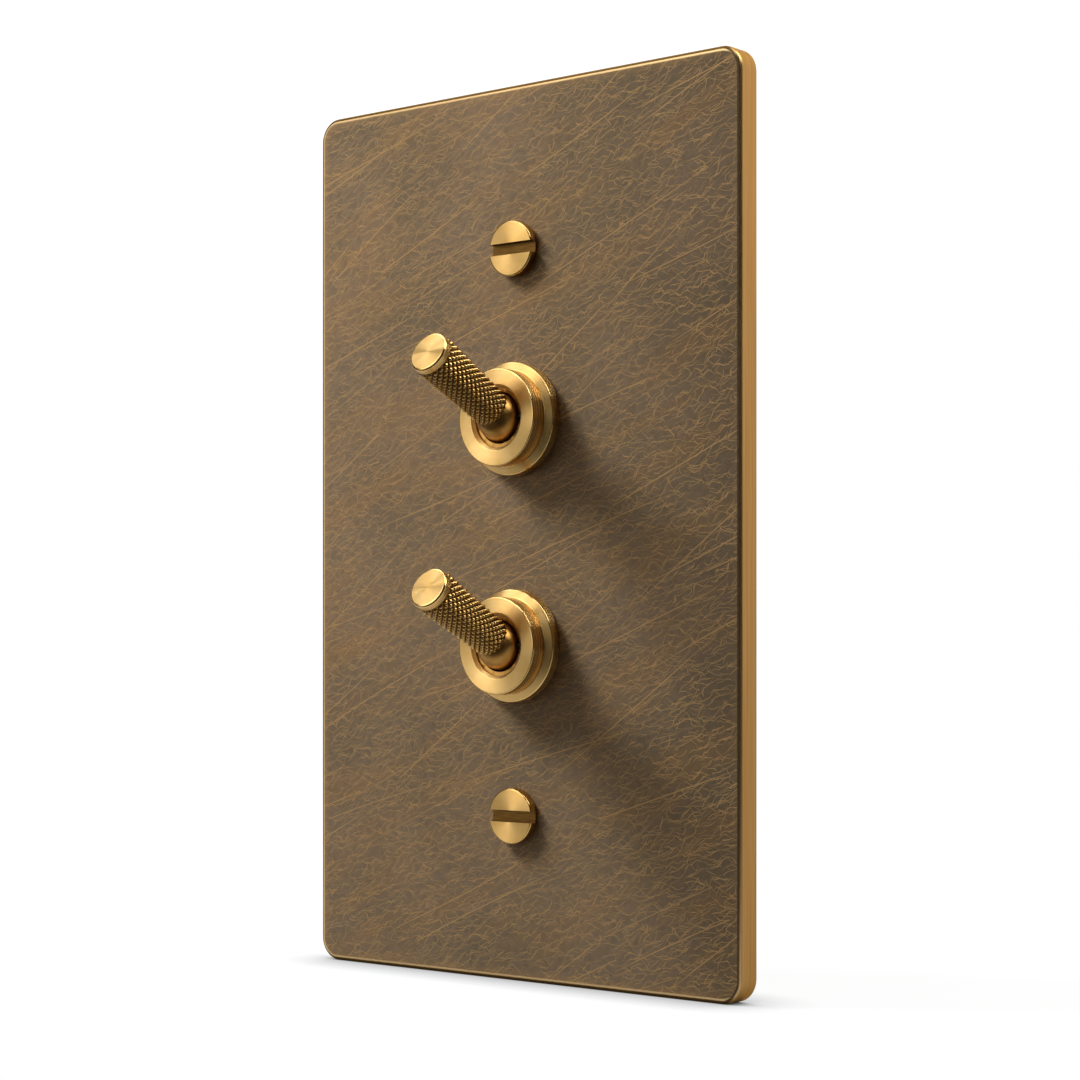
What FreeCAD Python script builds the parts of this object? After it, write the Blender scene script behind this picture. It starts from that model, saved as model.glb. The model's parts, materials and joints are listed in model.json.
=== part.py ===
"""Two-gang brass dolly switch: an antiqued brass wall plate with two knurled toggle dollies.

Frame: millimetres, origin at the centre of the plate's back face, +X to the right, +Y into the wall, +Z up.
Each switch is a dolly on a pin in a threaded bushing, which rocks a contact blade between two terminals.
"""
import FreeCAD, Part
import math
import os

Vector = FreeCAD.Vector

# Wall plate
PLATE_WIDTH = 69.85
PLATE_HEIGHT = 114.3
PLATE_THICKNESS = 3.2
PLATE_CORNER = 3.0
PLATE_EDGE_ROUND = 0.55
SWITCH_SPACING = 28.86

# Plate screws, slotted cheese heads
SCREW_SPACING = 72.2
SCREW_THREAD_RADIUS = 2.0
SCREW_NECK_RADIUS = 1.74
SCREW_LENGTH = 21.0
SCREW_HEAD_RADIUS = 3.55
SCREW_HEAD_HEIGHT = 1.25
SCREW_HEAD_ROUND = 0.25
SCREW_SLOT_WIDTH = 1.5
SCREW_SLOT_DEPTH = 0.85
SCREW_HOLE_CLEARANCE = 0.2

# Collar and dress nut on the plate's face
COLLAR_RADIUS = 7.2
COLLAR_RIM_HEIGHT = 1.3
COLLAR_HEIGHT = 1.9
COLLAR_TOP_RADIUS = 6.25
COLLAR_ROUND = 0.25
NUT_RADIUS = 6.2
NUT_HEIGHT = 2.1
NUT_ROUND = 0.18
NUT_MOUTH_RADIUS = 3.8
NUT_MOUTH_CHAMFER = 0.4
NUT_LIP = 0.6

# Bushing: threaded neck and cover of the switch, one casting
NECK_RADIUS = 5.0
NECK_FIT = 0.05
NECK_BORE_RADIUS = 3.3
NECK_FLARE_RADIUS = 4.45
NECK_END_GAP = 0.1
COVER_THICKNESS = 1.6
COVER_FLARE_RADIUS = 6.8
COVER_ROOF = 0.6
COVER_CORNER = 2.0
WASHER_THICKNESS = 0.5
WASHER_RADIUS = 7.4
WASHER_TEETH = 12
WASHER_TOOTH_LENGTH = 1.2

# Dolly, measured along its own axis from the pivot
PIVOT_HEIGHT = 2.9
DOLLY_TILT = 27.5
DOLLY_LENGTH = 15.54
BALL_RADIUS = 3.1
TIP_RADIUS = 2.72
TIP_BAND = 1.05
TIP_ROUND = 0.15
GRIP_CORE_RADIUS = 1.9
KNURL_TIP_RADIUS = 2.95
KNURL_BASE_RADIUS = 2.55
KNURL_DEPTH = 0.33
KNURL_START = 1.75
KNURL_TEETH = 19
KNURL_PITCH = 0.98
KNURL_TUCK = 0.05
ARM_RADIUS = 1.4
ARM_END = 5.4
ARM_CHAMFER = 0.2
PIN_RADIUS = 0.4
PIN_LENGTH = 9.4
PIN_FIT = 0.05
PRESS_FIT = 0.01

# Spring plunger in the dolly's arm
PLUNGER_RADIUS = 0.8
PLUNGER_FIT = 0.03
PLUNGER_REACH = 7.6
PLUNGER_TOP = 3.6
PLUNGER_BORE_TOP = 1.4
SPRING_WIRE_RADIUS = 0.13
SPRING_TURNS = 4
SPRING_FIT = 0.05

# Rocker: saddle, contact blade and contacts, about a fulcrum below the dolly
ROCKER_DROP = 9.8
ROCKER_TILT = 8.0
TROUGH_CLEARANCE = 0.15
SADDLE_LENGTH = 8.4
SADDLE_WIDTH = 2.8
SADDLE_HEIGHT = 3.0
SADDLE_ROUND = 0.3
BLADE_LENGTH = 17.2
BLADE_WIDTH = 4.4
BLADE_THICKNESS = 0.9
BLADE_END_ROUND = 1.2
FULCRUM_RADIUS = 0.45
FULCRUM_FIT = 0.05
CONTACT_OFFSET = 7.2
CONTACT_RADIUS = 1.0
CONTACT_THICKNESS = 0.6
CONTACT_GAP = 0.12

# Case, behind the cover
CASE_WIDTH = 17.0
CASE_HEIGHT = 26.0
CASE_DEPTH = 9.0
CASE_CORNER = 1.5
CASE_EDGE_ROUND = 0.5
CAVITY_WIDTH = 9.0
CAVITY_HEIGHT = 19.9
BARRIER_THICKNESS = 1.2
BARRIER_OFFSET = 4.5
BARRIER_WIDTH = 12.0
BARRIER_HEIGHT = 5.0
BARRIER_ROOT = 1.0
SLOT_CLEARANCE = 0.05
RIVET_RADIUS = 0.9
RIVET_HEAD_RADIUS = 1.6
RIVET_HEAD_HEIGHT = 0.5
RIVET_SPACING_X = 12.4
RIVET_SPACING_Z = 21.6

# Terminals: a folded strip inside the case and a wire block behind it
STRIP_THICKNESS = 1.0
STRIP_WIDTH = 5.0
FOOT_INNER = 5.6
POST_WIDTH = 3.8
BLOCK_WIDTH = 7.0
BLOCK_HEIGHT = 6.8
BLOCK_DEPTH = 6.5
WAY_BLOCK_OFFSET = 9.0
WIRE_RADIUS = 1.5
WIRE_DEPTH = 2.5
CLAMP_RADIUS = 1.25
CLAMP_FIT = 0.03
CLAMP_GAP = 0.1
CLAMP_HEAD_RADIUS = 2.2
CLAMP_HEAD_HEIGHT = 1.4
CLAMP_HEAD_GAP = 0.3
CLAMP_SLOT_WIDTH = 0.8
CLAMP_SLOT_DEPTH = 0.7

# Earth terminal on the plate's back
EARTH_EDGE_INSET = 12.925
EARTH_SIZE = 7.0
EARTH_DEPTH = 8.0
EARTH_WIRE_RADIUS = 1.6
EARTH_WIRE_DEPTH = 3.0

# Places worked out from the sizes above, along Y and from the switch's own axis
FACE_Y = -PLATE_THICKNESS
NUT_FACE_Y = FACE_Y - COLLAR_HEIGHT - NUT_HEIGHT
PIVOT_Y = FACE_Y - PIVOT_HEIGHT
NECK_END_Y = NUT_FACE_Y + NUT_LIP + NECK_END_GAP
COVER_Y = WASHER_THICKNESS
CASE_Y = COVER_Y + COVER_THICKNESS
FULCRUM_Y = PIVOT_Y + ROCKER_DROP
CASE_BACK_Y = CASE_Y + CASE_DEPTH
KNURL_END = DOLLY_LENGTH - TIP_BAND
EARTH_X = EARTH_EDGE_INSET - PLATE_WIDTH / 2

# How far a cut runs past the face that it opens, and how near two points count as one
CUT_PAST = 1.0
NEAR = 1e-6


def rounded_face(corners):
    """A flat face in XY from corners (x, y) or (x, y, radius), where a radius rounds that corner."""
    points = [Vector(c[0], c[1], 0) for c in corners]
    radii = [c[2] if len(c) > 2 else 0.0 for c in corners]
    enters = []
    leaves = []
    edges = []
    for i, here in enumerate(points):
        back = (points[i - 1] - here).normalize()
        on = (points[(i + 1) % len(points)] - here).normalize()
        half = back.getAngle(on) / 2
        cut = radii[i] / math.tan(half)
        enters.append(here + back * cut)
        leaves.append(here + on * cut)
        if radii[i] > 0:
            middle = here + (back + on).normalize() * (radii[i] / math.sin(half) - radii[i])
            edges.append(Part.Arc(enters[i], middle, leaves[i]).toShape())
    for i, leave in enumerate(leaves):
        enter = enters[(i + 1) % len(points)]
        if leave.distanceToPoint(enter) > NEAR:
            edges.append(Part.LineSegment(leave, enter).toShape())
    return Part.Face(Part.Wire(Part.__sortEdges__(edges)))


def turned(corners):
    """A solid of revolution about Y, from a profile of (radius, y) corners."""
    return rounded_face(corners).revolve(Vector(0, 0, 0), Vector(0, 1, 0), 360)


def block(width, height, y0, y1, x=0.0, z=0.0):
    """A box centred on (x, z), from depth y0 to depth y1."""
    return Part.makeBox(width, y1 - y0, height, Vector(x - width / 2, y0, z - height / 2))


def rod(radius, y0, y1, x=0.0, z=0.0):
    """A round rod along Y, from depth y0 to depth y1."""
    return Part.makeCylinder(radius, y1 - y0, Vector(x, y0, z), Vector(0, 1, 0))


def cross_rod(radius, length, y, z=0.0, x=0.0):
    """A round rod along X, centred on (x, y, z)."""
    return Part.makeCylinder(radius, length, Vector(x - length / 2, y, z), Vector(1, 0, 0))


def rounded_block(width, height, y0, y1, corner):
    """A block whose edges along Y are rounded."""
    w, h = width / 2, height / 2
    face = rounded_face([(-w, -h, corner), (w, -h, corner), (w, h, corner), (-w, h, corner)])
    solid = face.extrude(Vector(0, 0, y1 - y0))
    solid.rotate(Vector(0, 0, 0), Vector(1, 0, 0), 90)
    solid.translate(Vector(0, y1, 0))
    return solid


def turned_about_x(shape, degrees, y):
    """The shape turned about a line along X at depth y."""
    shape.rotate(Vector(0, y, 0), Vector(1, 0, 0), degrees)
    return shape


def screw_places():
    return [SCREW_SPACING / 2, -SCREW_SPACING / 2]


def rivet_places():
    return [(sx * RIVET_SPACING_X / 2, sz * RIVET_SPACING_Z / 2) for sx in (-1, 1) for sz in (-1, 1)]


# Wall plate and its screws
def plate():
    solid = rounded_block(PLATE_WIDTH, PLATE_HEIGHT, FACE_Y, 0, PLATE_CORNER)
    front = [e for e in solid.Edges if e.BoundBox.YMax < FACE_Y + NEAR]
    solid = solid.makeFillet(PLATE_EDGE_ROUND, front)
    for z in (SWITCH_SPACING / 2, -SWITCH_SPACING / 2):
        solid = solid.cut(rod(NECK_RADIUS + NECK_FIT, FACE_Y - CUT_PAST, CUT_PAST, z=z))
    for z in screw_places():
        hole_radius = SCREW_THREAD_RADIUS + SCREW_HOLE_CLEARANCE
        solid = solid.cut(rod(hole_radius, FACE_Y - CUT_PAST, CUT_PAST, z=z))
    return solid


def plate_screw():
    head_y = FACE_Y - SCREW_HEAD_HEIGHT
    profile = [
        (0, head_y),
        (SCREW_HEAD_RADIUS, head_y, SCREW_HEAD_ROUND),
        (SCREW_HEAD_RADIUS, FACE_Y),
        (SCREW_NECK_RADIUS, FACE_Y),
        (SCREW_NECK_RADIUS, 0),
        (SCREW_THREAD_RADIUS, 0),
        (SCREW_THREAD_RADIUS, SCREW_LENGTH - SCREW_THREAD_RADIUS / 2),
        (SCREW_THREAD_RADIUS / 2, SCREW_LENGTH),
        (0, SCREW_LENGTH),
    ]
    slot_y = head_y + SCREW_SLOT_DEPTH
    slot = block(3 * SCREW_HEAD_RADIUS, SCREW_SLOT_WIDTH, head_y - CUT_PAST, slot_y)
    return turned(profile).cut(slot)


def plate_screws():
    screws = []
    for z in screw_places():
        screw = plate_screw()
        screw.translate(Vector(0, 0, z))
        screws.append(screw)
    return Part.makeCompound(screws)


# Earth terminal
def earth_terminal():
    solid = block(EARTH_SIZE, EARTH_SIZE, 0, EARTH_DEPTH, x=EARTH_X)
    solid = solid.cut(cross_rod(EARTH_WIRE_RADIUS, 2 * EARTH_SIZE, EARTH_WIRE_DEPTH, x=EARTH_X))
    return solid.cut(rod(CLAMP_RADIUS + CLAMP_FIT, EARTH_WIRE_DEPTH, EARTH_DEPTH + CUT_PAST, x=EARTH_X))


def clamp_screw(tip_y, seat_y):
    """A slotted cheese-head screw from its tip to a head that stands just off its block's face."""
    under_y = seat_y + CLAMP_HEAD_GAP
    top_y = under_y + CLAMP_HEAD_HEIGHT
    shank = rod(CLAMP_RADIUS, tip_y, under_y + CLAMP_HEAD_HEIGHT / 2)
    slot = block(3 * CLAMP_HEAD_RADIUS, CLAMP_SLOT_WIDTH, top_y - CLAMP_SLOT_DEPTH, top_y + CUT_PAST)
    return shank.fuse(rod(CLAMP_HEAD_RADIUS, under_y, top_y)).cut(slot)


def earth_screw():
    screw = clamp_screw(EARTH_WIRE_DEPTH + EARTH_WIRE_RADIUS + CLAMP_GAP, EARTH_DEPTH)
    screw.translate(Vector(EARTH_X, 0, 0))
    return screw


# Collar, dress nut and lock washer
def collar():
    bore = NECK_RADIUS + NECK_FIT
    return turned([
        (bore, FACE_Y),
        (COLLAR_RADIUS, FACE_Y),
        (COLLAR_RADIUS, FACE_Y - COLLAR_RIM_HEIGHT, COLLAR_ROUND),
        (COLLAR_TOP_RADIUS, FACE_Y - COLLAR_HEIGHT, COLLAR_ROUND),
        (bore, FACE_Y - COLLAR_HEIGHT),
    ])


def dress_nut():
    seat_y = FACE_Y - COLLAR_HEIGHT
    thread = NECK_RADIUS + NECK_FIT
    lip_y = NUT_FACE_Y + NUT_LIP
    return turned([
        (thread, seat_y),
        (NUT_RADIUS, seat_y),
        (NUT_RADIUS, NUT_FACE_Y, NUT_ROUND),
        (NUT_MOUTH_RADIUS + NUT_MOUTH_CHAMFER, NUT_FACE_Y),
        (NUT_MOUTH_RADIUS, NUT_FACE_Y + NUT_MOUTH_CHAMFER),
        (NUT_MOUTH_RADIUS, lip_y),
        (thread, lip_y),
    ])


def lock_washer():
    """A flat washer with teeth cut round its outer edge."""
    bore = NECK_RADIUS + NECK_FIT
    root = WASHER_RADIUS - WASHER_TOOTH_LENGTH
    solid = rod(root, 0, WASHER_THICKNESS)
    tooth_width = math.pi * root / WASHER_TEETH
    for i in range(WASHER_TEETH):
        tooth = block(tooth_width, 2 * WASHER_TOOTH_LENGTH, 0, WASHER_THICKNESS, z=root)
        tooth.rotate(Vector(0, 0, 0), Vector(0, 1, 0), 360 * i / WASHER_TEETH)
        solid = solid.fuse(tooth)
    solid = solid.cut(rod(bore, -CUT_PAST, CUT_PAST))
    return solid.common(rod(WASHER_RADIUS, 0, WASHER_THICKNESS)).removeSplitter()


# Bushing
def bushing():
    cover = rounded_block(CASE_WIDTH, CASE_HEIGHT, COVER_Y, CASE_Y, COVER_CORNER)
    solid = cover.fuse(rod(NECK_RADIUS, NECK_END_Y, CASE_Y - COVER_THICKNESS / 2))
    bore = turned([
        (0, NECK_END_Y - CUT_PAST),
        (NECK_BORE_RADIUS, NECK_END_Y - CUT_PAST),
        (NECK_BORE_RADIUS, PIVOT_Y + PLUNGER_BORE_TOP),
        (NECK_FLARE_RADIUS, COVER_Y),
        (COVER_FLARE_RADIUS, CASE_Y),
        (COVER_FLARE_RADIUS, CASE_Y + CUT_PAST),
        (0, CASE_Y + CUT_PAST),
    ])
    solid = solid.cut(bore)
    roof_y = COVER_Y + COVER_ROOF
    solid = solid.cut(block(CAVITY_WIDTH, CAVITY_HEIGHT, roof_y, CASE_Y + CUT_PAST))
    notch = PIN_RADIUS + PIN_FIT
    solid = solid.cut(cross_rod(notch, 3 * NECK_RADIUS, PIVOT_Y))
    solid = solid.cut(block(3 * NECK_RADIUS, 2 * notch, NECK_END_Y - CUT_PAST, PIVOT_Y))
    for x, z in rivet_places():
        hole = rod(RIVET_RADIUS + SLOT_CLEARANCE, COVER_Y - CUT_PAST, CASE_Y + CUT_PAST, x, z)
        seat_y = COVER_Y + RIVET_HEAD_HEIGHT
        seat = rod(RIVET_HEAD_RADIUS + SLOT_CLEARANCE, COVER_Y - CUT_PAST, seat_y, x, z)
        solid = solid.cut(hole).cut(seat)
    return solid


# Dolly, built with its tip towards -Y and then tilted about its pivot
def knurl_radius(s, on_crest):
    share = (s - KNURL_START) / (KNURL_END - KNURL_START)
    crest = KNURL_BASE_RADIUS + (KNURL_TIP_RADIUS - KNURL_BASE_RADIUS) * share
    return crest if on_crest else crest - KNURL_DEPTH


def knurl():
    """A closed sleeve of diamond points: crests and grooves alternate round each row and row to row."""
    end = KNURL_END + KNURL_TUCK
    rows = 2 * round((end - KNURL_START) / KNURL_PITCH)
    columns = 2 * KNURL_TEETH
    grid = []
    for i in range(rows + 1):
        s = KNURL_START + (end - KNURL_START) * i / rows
        ring = []
        for j in range(columns):
            radius = knurl_radius(s, 0 < i < rows and (i + j) % 2 == 0)
            angle = 2 * math.pi * j / columns
            ring.append(Vector(radius * math.cos(angle), PIVOT_Y - s, radius * math.sin(angle)))
        grid.append(ring)
    faces = []
    for i in range(rows):
        for j in range(columns):
            a, b = grid[i][j], grid[i][(j + 1) % columns]
            c, d = grid[i + 1][(j + 1) % columns], grid[i + 1][j]
            halves = [(a, b, d), (b, c, d)] if (i + j) % 2 == 0 else [(a, b, c), (a, c, d)]
            for corners in halves:
                faces.append(Part.Face(Part.makePolygon(list(corners) + [corners[0]])))
    for ring in (grid[0], grid[rows]):
        faces.append(Part.Face(Part.makePolygon(ring + [ring[0]])))
    shell = Part.makeShell(faces)
    shell.sewShape()
    solid = Part.Solid(shell)
    if solid.Volume < 0:
        solid.reverse()
    return solid


def dolly():
    tip_y = PIVOT_Y - DOLLY_LENGTH
    band_y = PIVOT_Y - KNURL_END
    arm_y = PIVOT_Y + ARM_END
    core = turned([
        (0, tip_y),
        (TIP_RADIUS, tip_y, TIP_ROUND),
        (TIP_RADIUS, band_y),
        (GRIP_CORE_RADIUS, band_y),
        (GRIP_CORE_RADIUS, PIVOT_Y),
        (ARM_RADIUS, PIVOT_Y),
        (ARM_RADIUS, arm_y - ARM_CHAMFER),
        (ARM_RADIUS - ARM_CHAMFER, arm_y),
        (0, arm_y),
    ])
    ball = Part.makeSphere(BALL_RADIUS, Vector(0, PIVOT_Y, 0))
    solid = core.fuse([ball, knurl()])
    solid = solid.cut(cross_rod(PIN_RADIUS + PRESS_FIT, 3 * BALL_RADIUS, PIVOT_Y))
    solid = solid.cut(rod(PLUNGER_RADIUS + PLUNGER_FIT, PIVOT_Y + PLUNGER_BORE_TOP, arm_y + CUT_PAST))
    return turned_about_x(solid, -DOLLY_TILT, PIVOT_Y)


def pivot_pin():
    return cross_rod(PIN_RADIUS, PIN_LENGTH, PIVOT_Y)


def plunger():
    centre_y = PIVOT_Y + PLUNGER_REACH
    solid = rod(PLUNGER_RADIUS, PIVOT_Y + PLUNGER_TOP, centre_y)
    solid = solid.fuse(Part.makeSphere(PLUNGER_RADIUS, Vector(0, centre_y, 0))).removeSplitter()
    return turned_about_x(solid, -DOLLY_TILT, PIVOT_Y)


def plunger_spring():
    coil_radius = PLUNGER_RADIUS - SPRING_FIT - SPRING_WIRE_RADIUS
    start = PLUNGER_BORE_TOP + SPRING_WIRE_RADIUS
    length = PLUNGER_TOP - PLUNGER_BORE_TOP - 2 * SPRING_WIRE_RADIUS
    helix = Part.makeHelix(length / SPRING_TURNS, length, coil_radius)
    section = Part.Wire(Part.makeCircle(SPRING_WIRE_RADIUS, Vector(coil_radius, 0, 0), Vector(0, 1, 0)))
    solid = Part.Wire(helix.Edges).makePipeShell([section], True, True)
    solid.rotate(Vector(0, 0, 0), Vector(1, 0, 0), -90)
    solid.translate(Vector(0, PIVOT_Y + start, 0))
    return turned_about_x(solid, -DOLLY_TILT, PIVOT_Y)


# Rocker, built level about the fulcrum and then tilted towards the way that is closed
def trough():
    """Radius and centre height of the saddle's trough, which follows the plunger's end as both turn."""
    dolly_turn = math.radians(DOLLY_TILT)
    rocker_turn = math.radians(ROCKER_TILT)
    low = ROCKER_DROP - PLUNGER_REACH
    side = PLUNGER_REACH * math.sin(dolly_turn)
    rise = ROCKER_DROP - PLUNGER_REACH * math.cos(dolly_turn)
    end_side = side * math.cos(rocker_turn) - rise * math.sin(rocker_turn)
    end_rise = rise * math.cos(rocker_turn) + side * math.sin(rocker_turn) - low
    path = (end_side ** 2 + end_rise ** 2) / (2 * end_rise)
    return path + PLUNGER_RADIUS + TROUGH_CLEARANCE, low + path


def rocker_saddle():
    radius, centre = trough()
    half = SADDLE_LENGTH / 2
    top = FULCRUM_Y - SADDLE_HEIGHT
    bottom = FULCRUM_Y - BLADE_THICKNESS
    profile = rounded_face([
        (top, -half, SADDLE_ROUND),
        (bottom, -half),
        (bottom, half),
        (top, half, SADDLE_ROUND),
    ])
    solid = profile.extrude(Vector(0, 0, SADDLE_WIDTH))
    solid.translate(Vector(0, 0, -SADDLE_WIDTH / 2))
    solid.rotate(Vector(0, 0, 0), Vector(0, 0, 1), 90)
    solid.rotate(Vector(0, 0, 0), Vector(0, 1, 0), 90)
    solid = solid.cut(cross_rod(radius, 3 * SADDLE_WIDTH, FULCRUM_Y - centre))
    return turned_about_x(solid, ROCKER_TILT, FULCRUM_Y)


def contact_blade():
    top = FULCRUM_Y - BLADE_THICKNESS
    solid = rounded_block(BLADE_WIDTH, BLADE_LENGTH, top, FULCRUM_Y, BLADE_END_ROUND)
    solid = solid.cut(cross_rod(FULCRUM_RADIUS + FULCRUM_FIT, 3 * BLADE_WIDTH, FULCRUM_Y))
    return turned_about_x(solid, ROCKER_TILT, FULCRUM_Y)


def moving_contacts():
    face_y = FULCRUM_Y + CONTACT_THICKNESS
    buttons = [rod(CONTACT_RADIUS, FULCRUM_Y, face_y, z=s * CONTACT_OFFSET) for s in (-1, 1)]
    return turned_about_x(Part.makeCompound(buttons), ROCKER_TILT, FULCRUM_Y)


# Fixed contacts and terminals
def fixed_contact_y():
    """Depth of the fixed contacts' faces, just behind the moving contact's far edge where it closes."""
    turn = math.radians(ROCKER_TILT)
    far = CONTACT_OFFSET + CONTACT_RADIUS
    return FULCRUM_Y + CONTACT_THICKNESS * math.cos(turn) + far * math.sin(turn) + CONTACT_GAP


def foot_y():
    return fixed_contact_y() + CONTACT_THICKNESS


def floor_y():
    return foot_y() + STRIP_THICKNESS


def fixed_contacts():
    buttons = [rod(CONTACT_RADIUS, fixed_contact_y(), foot_y(), z=s * CONTACT_OFFSET) for s in (-1, 1)]
    return Part.makeCompound(buttons)


def way_leg(side, clearance=0.0):
    """The leg of a way terminal's strip, through the case's floor at the cavity's end."""
    outer = CAVITY_HEIGHT / 2 - SLOT_CLEARANCE
    z = side * (outer - STRIP_THICKNESS / 2)
    width = STRIP_WIDTH + 2 * clearance
    thickness = STRIP_THICKNESS + 2 * clearance
    return block(width, thickness, foot_y(), CASE_BACK_Y + clearance, z=z)


def common_leg(clearance=0.0):
    width = POST_WIDTH + 2 * clearance
    thickness = 2 * (FULCRUM_RADIUS + clearance)
    return block(width, thickness, FULCRUM_Y, CASE_BACK_Y + clearance)


def wire_block(z):
    back = CASE_BACK_Y + BLOCK_DEPTH
    wire_y = CASE_BACK_Y + WIRE_DEPTH
    solid = block(BLOCK_WIDTH, BLOCK_HEIGHT, CASE_BACK_Y, back, z=z)
    solid = solid.cut(cross_rod(WIRE_RADIUS, 2 * BLOCK_WIDTH, wire_y, z))
    return solid.cut(rod(CLAMP_RADIUS + CLAMP_FIT, wire_y, back + CUT_PAST, z=z))


def way_terminal(side):
    outer = CAVITY_HEIGHT / 2 - SLOT_CLEARANCE
    foot = block(STRIP_WIDTH, outer - FOOT_INNER, foot_y(), floor_y(), z=side * (outer + FOOT_INNER) / 2)
    return foot.fuse([way_leg(side), wire_block(side * WAY_BLOCK_OFFSET)]).removeSplitter()


def common_terminal():
    edge = cross_rod(FULCRUM_RADIUS, POST_WIDTH, FULCRUM_Y)
    return common_leg().fuse([edge, wire_block(0)]).removeSplitter()


def terminal_screws():
    tip_y = CASE_BACK_Y + WIRE_DEPTH + WIRE_RADIUS + CLAMP_GAP
    screws = []
    for z in (-WAY_BLOCK_OFFSET, 0, WAY_BLOCK_OFFSET):
        screw = clamp_screw(tip_y, CASE_BACK_Y + BLOCK_DEPTH)
        screw.translate(Vector(0, 0, z))
        screws.append(screw)
    return Part.makeCompound(screws)


# Case and rivets
def case():
    solid = rounded_block(CASE_WIDTH, CASE_HEIGHT, CASE_Y, CASE_BACK_Y, CASE_CORNER)
    rear = [e for e in solid.Edges if e.BoundBox.YMin > CASE_BACK_Y - NEAR]
    solid = solid.makeFillet(CASE_EDGE_ROUND, rear)
    solid = solid.cut(block(CAVITY_WIDTH, CAVITY_HEIGHT, CASE_Y - CUT_PAST, floor_y()))
    for side in (-1, 1):
        root_y = CASE_BACK_Y - BARRIER_ROOT
        barrier_y = CASE_BACK_Y + BARRIER_HEIGHT
        barrier_z = side * BARRIER_OFFSET
        barrier = block(BARRIER_WIDTH, BARRIER_THICKNESS, root_y, barrier_y, z=barrier_z)
        solid = solid.fuse(barrier)
        solid = solid.cut(way_leg(side, SLOT_CLEARANCE))
    solid = solid.cut(common_leg(SLOT_CLEARANCE))
    for x, z in rivet_places():
        hole_radius = RIVET_RADIUS + SLOT_CLEARANCE
        solid = solid.cut(rod(hole_radius, CASE_Y - CUT_PAST, CASE_BACK_Y + CUT_PAST, x, z))
    return solid.removeSplitter()


def case_rivets():
    rivets = []
    for x, z in rivet_places():
        shank = rod(RIVET_RADIUS, COVER_Y, CASE_BACK_Y + RIVET_HEAD_HEIGHT, x, z)
        front = rod(RIVET_HEAD_RADIUS, COVER_Y, COVER_Y + RIVET_HEAD_HEIGHT, x, z)
        rear = rod(RIVET_HEAD_RADIUS, CASE_BACK_Y, CASE_BACK_Y + RIVET_HEAD_HEIGHT, x, z)
        rivets.append(shank.fuse([front, rear]).removeSplitter())
    return Part.makeCompound(rivets)


# One switch's pieces, made on the plate's centre line
def switch_pieces():
    return {
        "collar": collar(),
        "dress_nut": dress_nut(),
        "lock_washer": lock_washer(),
        "bushing": bushing(),
        "dolly": dolly(),
        "pivot_pin": pivot_pin(),
        "plunger": plunger(),
        "plunger_spring": plunger_spring(),
        "rocker_saddle": rocker_saddle(),
        "contact_blade": contact_blade(),
        "moving_contacts": moving_contacts(),
        "fixed_contacts": fixed_contacts(),
        "way_one_terminal": way_terminal(1),
        "way_two_terminal": way_terminal(-1),
        "common_terminal": common_terminal(),
        "terminal_screws": terminal_screws(),
        "case": case(),
        "case_rivets": case_rivets(),
    }


def main():
    os.makedirs("parts", exist_ok=True)
    pieces = {
        "plate": plate(),
        "plate_screws": plate_screws(),
        "earth_terminal": earth_terminal(),
        "earth_screw": earth_screw(),
    }
    for name, shape in switch_pieces().items():
        for place, z in (("upper", SWITCH_SPACING / 2), ("lower", -SWITCH_SPACING / 2)):
            placed = shape.copy()
            placed.translate(Vector(0, 0, z))
            pieces[place + "_" + name] = placed
    for name, shape in pieces.items():
        shape.exportStep("parts/" + name + ".step")
        print(name, len(shape.Solids), "solids", round(shape.Volume, 2), "mm3", shape.isValid())


main()
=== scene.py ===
"""Looks of a two-gang brass dolly switch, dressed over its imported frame.

Sizes are in millimetres and turned to metres by MM. +X is right, +Y goes into the wall, +Z is up.
"""
import bmesh
import bpy
import json
import math
from mathutils import Matrix, Vector


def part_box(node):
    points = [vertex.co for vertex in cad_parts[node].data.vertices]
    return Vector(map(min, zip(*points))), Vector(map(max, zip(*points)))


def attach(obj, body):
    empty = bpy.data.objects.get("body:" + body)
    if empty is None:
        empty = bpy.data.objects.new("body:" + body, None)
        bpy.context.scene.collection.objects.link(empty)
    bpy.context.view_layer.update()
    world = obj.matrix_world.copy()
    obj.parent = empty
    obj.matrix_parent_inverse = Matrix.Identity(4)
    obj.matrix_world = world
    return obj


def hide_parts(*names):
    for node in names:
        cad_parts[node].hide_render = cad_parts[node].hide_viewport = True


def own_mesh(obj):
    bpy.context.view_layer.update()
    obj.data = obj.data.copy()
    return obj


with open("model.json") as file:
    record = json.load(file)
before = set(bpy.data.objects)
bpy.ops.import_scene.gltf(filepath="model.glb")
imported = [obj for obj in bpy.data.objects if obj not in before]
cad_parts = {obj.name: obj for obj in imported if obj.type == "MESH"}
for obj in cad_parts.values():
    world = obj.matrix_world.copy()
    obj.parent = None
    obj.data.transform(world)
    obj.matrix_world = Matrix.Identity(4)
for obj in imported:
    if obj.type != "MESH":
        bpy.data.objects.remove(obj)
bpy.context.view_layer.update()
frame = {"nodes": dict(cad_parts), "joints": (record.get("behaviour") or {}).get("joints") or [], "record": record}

MM = 0.001

# Plate, read from the frame, and its worked edge
PLATE_LOW, PLATE_HIGH = [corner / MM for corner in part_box("plate")]
PLATE_WIDTH = PLATE_HIGH.x - PLATE_LOW.x
PLATE_HEIGHT = PLATE_HIGH.z - PLATE_LOW.z
FACE_Y = PLATE_LOW.y
PLATE_CORNER = 3.0
PLATE_CORNER_STEPS = 12
PLATE_EDGE_ROUND = 0.55
PLATE_EDGE_STEPS = 10
PLATE_EDGE_BANDS = (0.4, 0.9, 1.8)
NECK_HOLE_RADIUS = 5.05
SCREW_HOLE_RADIUS = 2.2
HOLE_SEGMENTS = 64

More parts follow.
